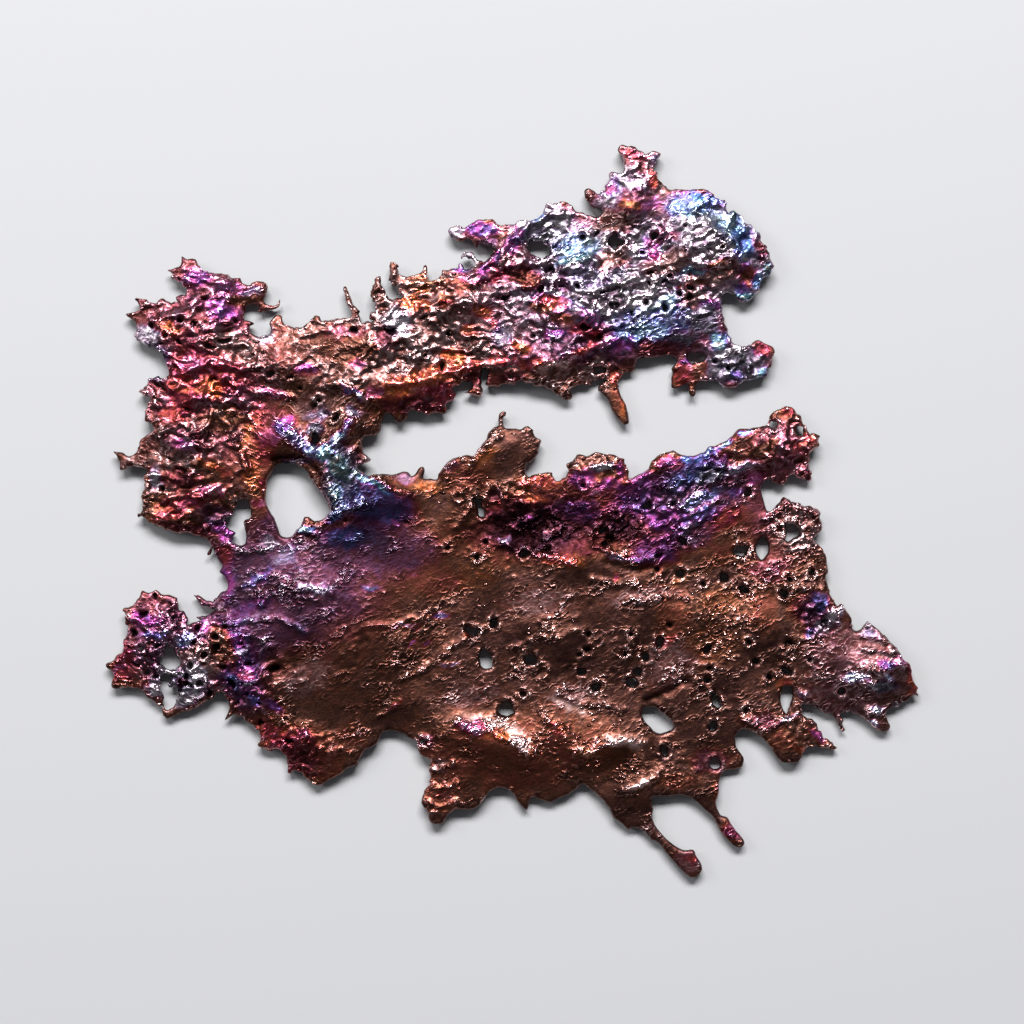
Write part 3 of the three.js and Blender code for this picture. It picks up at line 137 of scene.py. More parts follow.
# Creases of the skin: height, half width, then the line of the crest
CREASES = [
    (0.9, 0.8, [(10, 49.2), (13.9, 50.6), (17, 50.2)]),
    (0.8, 0.7, [(1, 54.7), (2.7, 56.5), (4.3, 58), (6.6, 59.2), (10, 59.6)]),
    (1.0, 0.8, [(34.4, 51), (35.8, 54.2), (39.6, 56), (44, 54.8), (44.8, 51.8), (41, 49.4), (36.4, 49.2)]),
    (0.8, 0.7, [(36.6, 52.6), (39.4, 53.6), (42.6, 53.4)]),
    (1.0, 0.9, [(-8, 47), (-4.4, 50.4), (-1.6, 52.6), (1, 55)]),
    (0.9, 0.8, [(-12.7, 40.3), (-10.2, 42.1), (-7.4, 41.4)]),
    (1.0, 0.9, [(12.6, 40.6), (15.4, 38.8), (17.4, 36.8)]),
    (0.9, 0.8, [(5, 29.3), (9, 30.6), (13, 32), (17, 33.2), (21, 34.4)]),
    (0.9, 0.9, [(-25, 25.4), (-20, 26), (-14.2, 27.1), (-8, 29), (-1, 29.8)]),
    (0.8, 0.7, [(22.6, 46.6), (26.4, 48.4), (30, 49.6)]),
    (0.7, 0.6, [(18, 44.6), (22, 45.6), (26, 47)]),
    (0.8, 0.7, [(-18.6, 45.4), (-14.6, 46), (-11.6, 44.6)]),
    (1.2, 1.5, [(-46.5, 17.6), (-42.4, 13.5), (-39.4, 11.5), (-35.8, 13.5), (-32.1, 17.8)]),
    (1.0, 1.0, [(-39.4, 11.5), (-37, 7), (-35.4, 3), (-36, 0)]),
    (0.9, 0.8, [(-36.6, 25.6), (-34, 25.4), (-31.4, 23.8), (-29, 22)]),
    (0.8, 0.7, [(-31, 8.5), (-28, 7), (-24, 4.5), (-20, 3.4)]),
    (0.9, 0.8, [(-38.2, -2.4), (-36, -1), (-33, 0.6), (-28, 1.4)]),
    (0.8, 0.7, [(-43, -3.4), (-41, -3.6), (-39.4, -4.4)]),
    (0.7, 0.7, [(-58, -6), (-55, -7.2), (-53, -8), (-50, -7.4)]),
    (0.7, 0.5, [(-60.4, -22.2), (-57, -22.5), (-54, -21.8), (-50, -21.4), (-46, -21.6), (-43, -22.8),
        (-41, -23.8)]),
    (0.5, 0.5, [(-57.6, -17.2), (-54, -15), (-50, -13), (-47, -12.6)]),
    (0.6, 0.7, [(-46, -14.5), (-42, -15.2), (-39, -14.9), (-36.4, -16.2)]),
    (0.7, 0.6, [(-49.8, -25.6), (-49, -26.5), (-47.3, -28.5)]),
    (0.6, 0.5, [(-57, -25.5), (-54, -24.6), (-51.6, -25.2)]),
    (0.6, 0.5, [(-54.4, -33.4), (-51, -34), (-48.6, -32.6)]),
    (0.7, 0.6, [(-42.4, -42.6), (-41.2, -44.4), (-41.6, -46.4)]),
    (0.6, 0.5, [(-38.6, -47.2), (-36.5, -48.3), (-34, -47.6), (-32, -48)]),
    (0.6, 0.6, [(-26.6, -40.8), (-24.8, -39.4), (-23, -38)]),
    (1.0, 1.0, [(-11, -41.8), (-8, -43.2), (-5, -43), (-2, -44.6), (1, -46), (3.4, -48)]),
    (0.8, 0.8, [(7, -41.5), (9.4, -42.6), (11, -45)]),
    (0.9, 0.9, [(12.4, -47.8), (15.6, -48.2), (18.4, -46.4), (22, -45.4), (26, -46.4)]),
    (0.7, 0.7, [(22.4, -55.4), (25.6, -54.4), (29, -53)]),
    (0.6, 0.5, [(-17.4, -51), (-14.6, -51.6), (-12, -50.4)]),
    (0.6, 0.5, [(-17, -54.4), (-14.4, -55.4), (-11.4, -54.2)]),
    (0.6, 0.5, [(-16.4, -58), (-14, -59), (-11.6, -58)]),
    (0.9, 0.8, [(-9, 8.8), (-7.5, 11), (-5.6, 13.2), (-3, 15)]),
    (0.7, 0.6, [(-12.8, 6.6), (-14, 8.5), (-12, 10), (-10, 10.8)]),
    (0.7, 0.6, [(-9.6, 5.4), (-7.2, 2.8), (-9, -0.6), (-11.6, -3.4)]),
    (0.6, 0.6, [(-2.6, -6), (1.4, -7.6), (5, -8)]),
    (0.8, 0.7, [(5, -8.6), (8.4, -8.8), (12.8, -10.4)]),
    (0.8, 0.7, [(19, -8), (22, -8.8), (24.5, -9.8), (29, -9.2)]),
    (0.8, 0.7, [(12, 9), (14.6, 8), (18, 9.6), (21.4, 9)]),
    (0.8, 0.7, [(22.4, 5.6), (25, 6.6), (28.6, 8.4), (31, 9.8)]),
    (0.6, 0.5, [(32.6, 0.8), (35.4, 2.6), (38.4, 3.6)]),
    (0.6, 0.5, [(34.8, -1.4), (38, 0.4), (41.6, 2.4)]),
    (0.6, 0.5, [(35, -3.4), (36, -2), (37.4, -1.6)]),
    (0.7, 0.6, [(41, 8.8), (43.6, 8.6), (47, 9.2)]),
    (0.7, 0.7, [(50.6, -1.6), (54, 0.8), (57, 1), (61, -0.8)]),
    (0.7, 0.5, [(54.4, -17.8), (55, -16.4), (56.6, -15.6), (60, -15)]),
    (0.6, 0.5, [(56.4, -33.4), (57.4, -35.6), (59, -37.5)]),
    (0.7, 0.6, [(46.8, -41.4), (50.4, -43.6), (54, -42.2), (56.6, -41)]),
    (1.0, 1.1, [(66.4, -34), (69, -33.9), (72, -34.6)]),
    (1.0, 0.9, [(72.6, -31.9), (74.8, -31.1), (77.6, -30.3)]),
    (0.5, 0.4, [(70, -24.8), (73, -25.2), (76, -26.4)]),
    (0.8, 0.9, [(71.4, -40), (73.8, -40.2)]), (0.7, 0.8, [(71.6, -42.7), (72.8, -42.8)]),
    (0.5, 0.4, [(69.6, -27.4), (73.4, -27.6), (77, -28)]),
    (0.6, 0.6, [(16, -13.6), (20, -14.4), (25, -14)]),
    (0.5, 0.5, [(23, -17.4), (27, -17.6), (31, -16.8), (35, -17.6)]),
    (0.5, 0.5, [(5, -22), (9, -20.6), (13, -20.8)]),
    (0.5, 0.5, [(0, -27), (4, -25.4), (9, -25), (14, -23)]),
    (0.5, 0.5, [(9, -36), (14, -38.4), (19, -38.6), (23, -40)]),
    (0.6, 0.5, [(-22, -33.4), (-17, -31), (-12, -27), (-8, -24.6)]),
    (0.5, 0.5, [(-30, -23), (-25, -22.6), (-20, -21.4), (-17, -21)]),
    (0.8, 0.7, [(-68, 11), (-64.6, 13.6), (-61.4, 12.4), (-63, 9.6)]),
    (0.8, 0.7, [(-70, 15.6), (-66, 17.6), (-61, 15.6)]),
    (0.7, 0.6, [(-68, 21), (-63, 22.8), (-58, 21.6), (-55.4, 23.2)]),
    (0.8, 0.7, [(-56.6, 17.6), (-54.4, 13), (-52.6, 8)]),
    (0.7, 0.6, [(-51.6, 24), (-47.6, 23.6), (-44, 22.6)]),
    (0.8, 0.7, [(-66, 27.6), (-60, 29.6), (-54, 28.4), (-48, 29.6)]),
    (0.7, 0.6, [(-64.6, 33.4), (-59, 34.6), (-53, 33)]),
    (0.7, 0.6, [(-64, 47.8), (-60.6, 45.8), (-56, 45.6)]),
    (0.7, 0.6, [(-70.4, 38.8), (-66, 39.6), (-62, 41.4)]),
    (0.7, 0.6, [(-70, 2), (-66.4, 3.6), (-62, 3), (-58.6, 5)]),
    (0.8, 0.7, [(-72, -0.6), (-68, -1.6), (-64, -0.4)]),
    (0.7, 0.5, [(-71.6, -31.4), (-69.4, -32), (-67, -32)]),
    (0.7, 0.5, [(-64.8, -38), (-62, -37.4), (-60, -34.6)]),
    (0.7, 0.5, [(-67, -24.6), (-65, -25.8), (-63.4, -28)]),
    (0.7, 0.6, [(-76.6, -21), (-73, -22.6), (-70, -22)]),
]

# Hollows: depth, half width, then the line of the floor
GROOVES = [
    (0.35, 0.6, [(18.6, -10), (24, -11.6), (30, -11)]),
    (0.25, 1.4, [(-49, -30.4), (-46, -31.6), (-44, -30.2)]),
    (0.5, 1.0, [(-47.6, 10.4), (-43, 10.6), (-39.6, 9)]),
    (0.6, 0.8, [(-5.6, 45.6), (-1, 47.4), (3, 46)]),
    (0.7, 0.9, [(16, 42.6), (19, 42), (21, 44)]),
    (0.7, 0.8, [(15.6, 35.6), (18.4, 35)]),
    (0.6, 0.8, [(44.4, 48), (47, 46.8)]),
    (0.3, 0.8, [(58.4, -19), (60.6, -22), (62, -25.4)]),
    (0.5, 0.8, [(27, -38), (31, -36), (35, -33.6)]),
]

# Pits that don't go through, painted dark as shade: x, y, half length, half width, turn
PITS = [
    (-71.2, -32.9, 0.6, 0.5, 0), (-65.3, -33.2, 0.8, 0.5, 0), (-64.8, -34.8, 0.9, 0.5, 20),
    (-73.7, -20.4, 0.6, 0.5, 0), (-59.3, -27.2, 1.0, 0.8, 60), (-60.6, -36.4, 1.0, 0.5, 70),
    (-67.6, -21.4, 0.7, 0.5, 0), (-63.2, -23.2, 0.8, 0.4, 20), (-72.4, 37.4, 0.7, 0.5, 0),
    (-66.2, 38.4, 0.8, 0.5, 0), (-70.4, 33.6, 0.6, 0.5, 0), (-63.4, 37.6, 0.8, 0.4, 0),
    (-66.6, 33.8, 0.9, 0.4, -20), (-61.4, 42.8, 0.9, 0.4, -10), (-55.4, 38.4, 0.8, 0.5, 0),
    (-68.2, 10.4, 0.8, 0.4, -30), (-66.2, 8.4, 0.9, 0.4, -20), (-70.0, 4.6, 0.6, 0.8, 0),
    (-64.4, 20.4, 1.0, 0.4, -20), (-59.6, 26.4, 1.0, 0.4, -20), (-42.0, 24.8, 0.6, 0.4, 0),
    (-44.2, 26.6, 0.7, 0.4, 0), (-39.6, 21.0, 0.9, 0.5, 60), (-37.2, 19.8, 0.7, 0.4, 0),
    (-31.8, 36.4, 0.9, 0.4, -10), (-24.4, 36.2, 1.4, 0.6, -10), (-17.6, 38.6, 0.8, 0.4, 30),
    (-12.6, 35.4, 0.6, 0.5, 0), (-1.4, 42.8, 0.9, 0.5, 20), (5.6, 44.6, 0.9, 0.5, 30),
    (9.8, 45.0, 0.7, 0.5, 0), (7.6, 48.6, 0.9, 0.4, 20), (18.2, 44.0, 1.4, 0.6, 10),
    (20.4, 41.2, 1.4, 0.8, -20), (27.4, 47.6, 0.9, 0.5, 30), (30.4, 46.0, 1.2, 0.5, 30),
    (16.8, 55.6, 0.9, 0.4, 20), (23.6, 57.2, 0.8, 0.4, 0), (34.6, 57.2, 0.8, 0.5, 0),
    (17.0, 34.6, 1.0, 0.6, 40), (24.0, 39.8, 0.6, 0.5, 0), (35.4, 43.0, 1.0, 0.7, 20),
    (14.8, 37.0, 1.0, 0.5, -30), (43.0, 28.8, 0.8, 0.5, 0), (40.6, 30.0, 0.7, 0.5, 0),
    (-5.2, -29.0, 1.0, 0.6, 0), (14.8, -27.4, 0.9, 0.5, 0), (7.0, -7.6, 0.8, 0.4, 20),
    (19.4, -5.6, 1.2, 0.8, 60), (-21.4, -2.2, 0.6, 0.4, 0), (-33.4, -2.0, 0.8, 0.5, 0),
    (31.4, -22.6, 0.6, 0.5, 0), (62.4, -22.4, 0.9, 0.6, 40), (38.0, -27.4, 0.6, 0.4, 0),
    (55.6, -26.4, 0.7, 0.5, 0), (-47.4, -31.4, 1.2, 0.7, 10), (-52.8, -30.6, 0.8, 0.5, 0),
    (-56.0, -34.4, 0.7, 1.0, 0), (-70.6, -26.6, 0.7, 0.5, 0), (-75.4, -24.4, 0.6, 0.5, 0),
    (-68.4, -18.6, 0.6, 0.4, 0), (-71.6, -16.8, 0.6, 0.4, 20), (-64.4, -20.6, 0.6, 0.5, 0),
    (-75.6, -30.4, 0.7, 0.4, 0), (-63.6, -26.4, 0.6, 0.4, 0), (-66.8, -36.2, 0.6, 0.5, 0),
    (-57.4, -23.0, 0.7, 0.4, 0), (-54.4, -26.2, 0.6, 0.4, 30), (-57.8, -31.0, 0.5, 0.7, 0),
    (-53.0, -36.4, 0.6, 0.5, 0), (-50.2, -38.6, 0.6, 0.4, 0), (-55.2, -38.2, 0.5, 0.5, 0),
    (-50.4, -42.4, 0.8, 0.5, 0), (-44.6, -46.0, 1.0, 0.5, -20),
]

# Raised rings round pits: x, y, radius of the ring, height
RINGS = [
    (-10.8, 3.2, 0.9, 0.45), (-3.6, 3.4, 1.5, 0.5), (-1.4, 3.4, 0.7, 0.4), (18.0, -5.0, 2.3, 0.5),
    (-50.0, -17.5, 0.8, 0.4), (-18.0, -46.0, 1.3, 0.5), (17.2, -26.0, 0.7, 0.35), (51.4, -11.1, 0.7, 0.4),
    (4.1, 45.7, 0.9, 0.5), (-14.1, 45.2, 1.2, 0.5), (44.5, 0.4, 0.8, 0.3), (15.2, -27.8, 1.0, 0.4),
    (6.0, -32.0, 1.4, 0.35), (-5.2, -29.4, 1.9, 0.35), (35.6, 45.0, 1.6, 0.5), (21.6, 42.2, 1.7, 0.45),
    (24.4, 35.4, 1.4, 0.4), (-12.2, 42.2, 0.9, 0.4), (62.6, -21.4, 1.1, 0.4), (60.0, -24.8, 0.9, 0.35),
    (54.0, -28.0, 0.8, 0.35), (47.4, -26.2, 0.8, 0.35),
]

# What each tint is: place on the tint ramp, cover over bare copper, tone, share of pale sheen. The pale
# sheen is partly the tint's own paleness and partly painted highlight; some tints below paint shade or
# highlights
TINTS = {
    "bare": (0.03, 0.20, 0.66, 0.07),
    # a dark tint, partly stain colour and partly painted shade
    "umber": (0.10, 0.25, 0.48, 0.05),
    "rust": (0.20, 0.38, 0.74, 0.05),
    "ochre": (0.10, 0.60, 0.55, 0.05),
    "gold": (0.10, 0.85, 1.05, 0.20),
    # painted highlight: a bright, pale tint for broad highlights
    "cream_highlight": (0.14, 0.50, 1.90, 0.62),
    "orange": (0.17, 0.95, 1.06, 0.05),
    "coral": (0.28, 0.95, 1.05, 0.10),
    "crimson": (0.34, 0.82, 0.72, 0.00),
    # a dark tint, partly stain colour and partly painted shade in valleys
    "maroon": (0.35, 0.50, 0.28, 0.00),
    # painted shade: a nearly black tint for valleys and hollows
    "painted_shade": (0.46, 0.40, 0.02, 0.00),
    "rose": (0.44, 0.36, 0.68, 0.12),
    "dove": (0.46, 0.16, 0.82, 0.24),
    "pink": (0.48, 0.95, 1.20, 0.20),
    "magenta": (0.55, 0.95, 1.02, 0.05),
    "mulberry": (0.60, 0.76, 0.36, 0.00),
    "plum": (0.60, 0.30, 0.46, 0.10),
    "violet": (0.67, 0.90, 0.90, 0.05),
    "lilac": (0.66, 0.70, 1.15, 0.55),
    "indigo": (0.74, 0.80, 0.35, 0.05),
    "blue": (0.77, 0.95, 0.95, 0.05),
    "periwinkle": (0.76, 0.85, 1.20, 0.35),
    "sky": (0.84, 0.80, 1.10, 0.20),
    "teal": (0.93, 0.75, 0.60, 0.10),
    "cyan": (0.94, 0.92, 1.25, 0.12),
    # painted highlight: brighter than any stain
    "glint": (0.88, 0.70, 2.20, 0.45),
    # a silvery tint, partly the metal's own colour and partly painted highlight
    "silver": (0.84, 0.30, 1.44, 0.54),
    "pewter": (0.30, 0.08, 0.82, 0.28),
    "ash": (0.86, 0.26, 1.36, 0.28),
    "slate": (0.82, 0.40, 0.46, 0.40),
}

# Heat stains by region, with patches of painted shade and painted highlight among them, laid in order:
# tint, x, y, half length, half width, turn
STAINS_AND_PAINTED_LIGHT = {
    "whole sheet": [
        ("pewter", 0, 40, 60, 16, 12), ("ash", 24, 48, 34, 14, 14), ("rose", -62, 26, 18, 26, 0),
        ("plum", -44, -18, 22, 17, 0), ("dove", -50, -14, 13, 12, 0), ("plum", -50, -14, 15, 14, 0),
        ("umber", -28, -33, 18, 12, 20), ("bare", 10, -28, 26, 22, 0), ("rust", 2, -48, 26, 10, 0),
        ("bare", 48, -30, 20, 18, 0), ("pewter", 71, -34, 15, 13, 0), ("rose", 54, 4, 12, 16, 0),
        ("dove", 24, 66, 12, 11, 0), ("ash", 44, 50, 10, 14, 0), ("ash", 44, 30, 10, 6, 0),
        ("plum", 22, 34, 26, 6, 8), ("plum", -68, -27, 13, 12, 0), ("maroon", 10, -2, 26, 9, 6),
    ],
    "top left head": [
        ("rose", -64, 44, 16, 11, 0), ("magenta", -63, 47, 3.2, 2.4, 0), ("pink", -56, 44.4, 5, 1.6, -8),
        ("silver", -73.4, 35, 3, 3, 0), ("orange", -68.6, 36.6, 3.4, 2.2, -30),
        ("magenta", -57.4, 40, 4.4, 2.6, -20), ("silver", -49.6, 35.4, 2.6, 2.2, 0),
        ("lilac", -52.4, 43.6, 2.4, 1.4, 0), ("umber", -53, 42.2, 4, 1.1, 0),
    ],
    "left block": [
        ("pewter", -66, 12, 8, 9, 0), ("pewter", -56, 32, 7, 4, -10), ("crimson", -61, 28, 10, 5.5, -20),
        ("crimson", -66, 23, 4, 5, 0), ("orange", -60.4, 24.6, 3.4, 2.2, -20),
        ("coral", -66, 25.4, 2.6, 2.2, 0), ("pink", -64, 29.6, 3.4, 1.5, -20),
        ("umber", -57.4, 18.6, 4.4, 3, 0), ("coral", -68, 19.4, 2.6, 3, 40),
        ("rose", -64, 14, 6, 3.6, -15), ("pink", -66.4, 13.6, 2.8, 1.2, -25),
        ("umber", -60, 8.4, 4, 2.6, -20), ("orange", -60.4, 9.6, 2.6, 1.1, -38),
        ("coral", -58, 8, 2, 1.2, -30), ("maroon", -66, 6.4, 6, 2.4, -10),
        ("pink", -60, 4.2, 3.4, 1.2, 5), ("crimson", -66, 1.6, 6.4, 2.4, 5),
        ("coral", -69.4, -0.8, 4, 1.4, 8), ("silver", -71.6, 6.6, 1.8, 3, 0),
        ("plum", -59.6, -1, 4, 3, 0), ("pewter", -75.6, 10, 4, 1.6, 10), ("slate", -71.4, 30, 3, 4, 0),
        ("maroon", -64, -3.4, 8, 1.4, -8), ("magenta", -57.6, -4.4, 3.4, 2, -35),
    ],
    "strand beside the neck": [
        ("rust", -52.4, 12, 2.6, 7, 0), ("orange", -53, 15.6, 1.3, 2.6, 0),
        ("coral", -50.6, 19, 1.8, 3, 0), ("orange", -52, 6.6, 2.2, 4, 0),
        ("crimson", -49.6, 12.6, 2, 4.4, 0), ("crimson", -49.6, 5.4, 1.2, 2, 0),
        ("pink", -50.2, 1.8, 1.6, 1.5, 0), ("plum", -49, -2, 2, 2, 0), ("silver", -48.2, -6.4, 2, 1.6, 0),
    ],
    "left of the neck": [
        ("pink", -47.6, 23.8, 4.6, 1.3, -8), ("magenta", -41.4, 28.4, 2.6, 1.5, 0),
        ("umber", -43, 25, 4, 1.4, 0), ("magenta", -45, 17.8, 2.8, 2.6, -30),
        ("maroon", -48.6, 19.6, 2.4, 2, 0), ("pink", -47.8, 15, 2.4, 2, -30),
        ("pewter", -40, 21, 4.4, 2.8, 0), ("lilac", -38.8, 19.4, 3, 1.6, 0),
        ("slate", -39.6, 16.4, 3, 1.6, 20),
    ],
    "neck": [
        ("slate", -34, 7, 5, 8, 0), ("periwinkle", -43.8, 14.6, 3.4, 1.9, -42),
        ("violet", -46.2, 16.8, 1.8, 1.2, -42), ("sky", -40.2, 12.2, 2.8, 1.8, -25),
        ("cyan", -37.4, 11.8, 2.4, 1.6, 35), ("sky", -34.6, 14.6, 3, 1.7, 50),
        ("violet", -32.6, 17.6, 1.8, 1.2, 50), ("teal", -34.4, 9, 2.2, 3.4, 20),
        ("teal", -35.4, 3.6, 1.6, 2.6, 0), ("periwinkle", -35.6, 0.2, 4, 0.9, 25),
        ("slate", -43.4, 10.2, 4, 0.9, 0), ("violet", -32.4, 24.4, 2.8, 0.9, -30),
        ("periwinkle", -30.6, 22.8, 1.4, 0.8, -40), ("slate", -31, 20, 2.6, 1.4, -30),
        ("umber", -28.4, 18, 2.6, 3.2, 0), ("pewter", -28.6, 11.6, 1.6, 1.8, 0),
        ("cyan", -29.6, 6.8, 3, 1, -30),
    ],
    "arm, lower edge": [
        ("crimson", -18, 23, 11, 4, 8), ("maroon", -19, 21, 9, 2.0, 4),
        ("orange", -22.4, 25, 5.4, 2.8, 8), ("orange", -16, 27.2, 5.4, 2.6, 20),
        ("pink", -27.6, 23.6, 1.8, 1.3, 0), ("coral", -9.4, 28.8, 5, 1.5, 8),
        ("crimson", -13, 24.6, 4, 1.8, 10), ("orange", -11.6, 31, 3, 1.6, 0),
        ("maroon", -6.4, 26.4, 4, 1.8, 0), ("coral", -2, 30.4, 4, 1.3, 0), ("maroon", 0, 26.8, 4, 1.4, 0),
        # the cream patch on this row is painted highlight
        ("coral", 4, 29.4, 4, 1.2, 5), ("cream_highlight", 9, 29, 4.4, 1.3, 10), ("pewter", 11, 26.4, 7, 2.4, 10),
        ("umber", 14, 25, 3, 1.4, 0), ("pewter", 15.6, 29, 4, 1.4, 25), ("coral", 14.6, 32.6, 5, 1.2, 20),
        ("pink", 19, 34.2, 2.6, 1.2, 22), ("rust", 22, 24, 2, 5.4, -12),
        ("orange", 22.6, 21, 0.8, 3.4, -12), ("coral", 20.6, 27, 1.6, 1.8, 0),
    ],
    "arm, middle": [
        ("umber", -33, 33, 8, 4, -5), ("rose", -33.6, 36, 5, 1.8, 0), ("pink", -31, 29.4, 2, 1.4, 0),
        ("pewter", -18, 36.4, 8, 5, 0), ("rose", -25.4, 34.4, 3, 3, 0),
        ("orange", -19.6, 41.6, 4, 1.5, -10), ("gold", -17.6, 45.6, 4.6, 2.2, 8),
        ("gold", -13.4, 42.4, 1.4, 2.4, 20), ("rust", -10.6, 45, 3, 2, 0),
        ("crimson", -13.6, 41.6, 2, 1.2, 0), ("orange", -6, 40, 3, 1.6, -20),
        ("coral", -3, 36.4, 1.2, 2.6, 20), ("orange", -9.4, 35.6, 1.4, 2.6, -30),
        ("pewter", -8, 33, 5, 2, -20), ("pink", -9, 46.8, 1.6, 1.4, 0),
        ("magenta", -4.4, 49.8, 3.6, 1.5, 42), ("pink", -6, 46.6, 3, 1, 35),
        ("crimson", -2.4, 47.2, 3, 1.4, 30), ("magenta", 0.6, 54.2, 1.7, 3.4, -35),
        ("maroon", 1.4, 47.6, 3.4, 1.8, 25), ("rust", 4, 46, 3, 2, 0), ("umber", 6, 40.6, 3, 1.6, 0),
        ("violet", -10, 48.6, 2.6, 1, 0), ("violet", -6, 56.6, 5, 2, -4),
        # the dark patch at the end of this row is painted shade
        ("silver", -11.2, 56, 2, 1.4, 0), ("painted_shade", -5, 54.2, 3, 1.2, 0),
        ("silver", -8.6, 50.8, 2.2, 2, 0), ("ash", 6, 58.6, 8, 5, 0), ("slate", 6, 56, 6, 2.6, 20),
        ("blue", 5.2, 59, 2, 0.8, 40), ("pink", 1.4, 55.8, 1.8, 1, 30), ("silver", -23, 38, 3.4, 3, 0),
        ("ash", -2, 35, 3, 2.6, 0), ("plum", -5, 53.4, 3, 1.2, 0), ("coral", 8, 42, 4.2, 1.8, -12),
        ("magenta", 8.2, 35.6, 2.6, 1.1, 10), ("orange", 1.4, 33, 2.6, 1.2, -35),
        ("rose", 10, 46, 3, 2, 0),
    ],
    "arm, right": [
        ("ash", 20, 52, 14, 9, 10), ("ash", 26, 43, 14, 4, 10), ("crimson", 13.4, 36.2, 3.4, 1.5, 0),
        ("pink", 15.4, 39, 3.4, 1.3, -35), ("maroon", 16.6, 35.4, 2.6, 1.4, 0),
        ("rust", 10.6, 38.6, 3, 1.6, 0), ("sky", 12.6, 53, 5, 3, 0), ("cyan", 12.0, 50.4, 4.4, 1.1, 15),
        ("lilac", 17, 47.4, 6, 3, 10), ("silver", 23, 45.6, 4, 1.6, 15),
        ("pewter", 20, 50.6, 4.4, 2.8, 30), ("silver", 25, 43, 5, 1.8, 10),
        ("periwinkle", 25, 38, 6, 3, 0), ("sky", 27, 36, 7, 2.2, 8), ("pewter", 31, 49.6, 6, 2.8, 15),
        ("gold", 36, 45.4, 4, 1, 10), ("periwinkle", 32.6, 38.8, 4.4, 3.6, 0),
        ("sky", 31.4, 41.8, 5, 2, 20), ("pewter", 37, 42, 4.4, 2.6, -20),
        ("pink", 27.6, 52.2, 2.2, 3, 20), ("rose", 30.4, 55.4, 3, 2, 0), ("ash", 22, 63, 6, 7, 0),
        ("pewter", 20.6, 58.4, 5, 3, 0), ("rose", 24, 62, 4, 3, 0), ("coral", 28, 66.4, 1.4, 2.8, 25),
        ("pink", 19.6, 65, 2, 1.8, 0), ("crimson", 24.4, 71.4, 3, 1.3, -15),
        ("lilac", 28.6, 70.6, 1.3, 1.6, 0), ("gold", 23.6, 61.4, 2.4, 0.9, -10),
        ("pink", 27.6, 61.4, 2.2, 0.9, 20), ("maroon", 28.6, 32.4, 5, 1.8, 0),
        ("magenta", 22, 33.4, 2.6, 1.5, 20), ("slate", 38.6, 38.4, 3.4, 4, 0),
        ("magenta", 39.8, 41.6, 2.8, 1, 0), ("cyan", 41.4, 34.2, 2, 2.4, -25),
    ],
    "arm, right end": [
        ("sky", 35.6, 60.6, 6, 3.4, -10), ("blue", 38.6, 62.6, 5, 1.5, -12),
        ("silver", 36, 57.6, 4.6, 1.8, 0), ("sky", 43.4, 57.4, 3, 3.4, 20),
        ("blue", 46.6, 54.2, 3, 3.6, 30), ("lilac", 49, 55.6, 1.6, 2.4, 30),
        ("teal", 44.6, 59.8, 1.2, 1, 0), ("violet", 45.2, 51.6, 1.2, 2.2, -20),
        ("magenta", 46.4, 49, 1.4, 1.2, 0), ("pewter", 40.4, 47.6, 6, 3, 15),
        ("cyan", 36, 48, 3.4, 0.7, 5), ("gold", 41, 49.4, 3, 0.6, 20), ("rose", 49.6, 52.6, 1.5, 2.6, 15),
        ("rust", 47, 46.8, 2.6, 1.6, 40), ("teal", 51.4, 48.6, 1.1, 1.8, 0),
        ("blue", 49.4, 45.8, 1.6, 1.8, 0), ("cyan", 46.6, 43, 1.8, 1, 0), ("violet", 46, 45, 1.4, 1.4, 0),
        ("slate", 34, 34.6, 3, 1, 0),
    ],
    "arm, lower right tip": [
        ("slate", 45, 29, 6, 3.4, 0), ("silver", 43, 31.6, 3, 1.2, 15),
        ("violet", 44.6, 27.6, 1.3, 1.3, 0), ("silver", 48.8, 31, 0.7, 2.6, 10),
        ("cyan", 50, 27.6, 1.8, 0.9, 15), ("crimson", 50.4, 32.6, 1.9, 1.6, 0),
        ("crimson", 34.2, 27.2, 2.4, 3, 0), ("magenta", 34.4, 30.2, 1.6, 0.7, 0),
        ("umber", 37.6, 29, 1.6, 2.6, 0),
    ],
    "shoulder": [
        ("rust", -9, 7, 7, 4, 20), ("orange", -17.2, 4.8, 4, 1.4, -10), ("orange", -5, 11, 3, 1.6, 45),
        ("rose", -12.4, 9, 2.6, 1.3, 25), ("umber", -9, 0, 5, 5, 0), ("coral", 5.6, 6, 5, 1.3, 0),
        ("orange", 4, 2.6, 4, 1.2, -10), ("maroon", 4, -1.6, 8, 2.6, 0), ("maroon", 11, -4.4, 7, 2, -4),
        ("rose", -3.4, 3.4, 2, 1.6, 0), ("magenta", 0.4, -1.8, 1.4, 0.8, 0),
        ("coral", -3.4, 0.4, 1, 2.2, -25), ("lilac", -1.4, -5.6, 1.8, 0.7, -35),
        ("rust", -2.4, -9.4, 4.4, 1.6, 0), ("coral", 8.6, -9, 3.4, 1.2, -6),
        ("orange", 12.4, -10.2, 2.6, 1.1, -10), ("magenta", 14, 6.6, 3.4, 2.4, 10),
        ("silver", 18, 9, 3, 1.3, 0), ("magenta", 21.6, 8.6, 0.9, 2.4, 0),
        ("pink", 17.6, 4.2, 3, 0.9, 10), ("crimson", 19, 1.2, 5, 1.6, 10), ("maroon", 24, -3, 6, 4, 0),
        ("magenta", 28.4, -2, 3, 1.8, 0), ("lilac", 21, -9.2, 3, 0.8, -18),
        ("magenta", 24.6, -9.6, 1.8, 0.8, -18), ("mulberry", 29, -8, 6, 4, 0),
        ("mulberry", 27, 3, 9, 5, 15), ("mulberry", 34, -2, 6, 6, 0), ("magenta", 25, 6.2, 4, 1.3, 22),
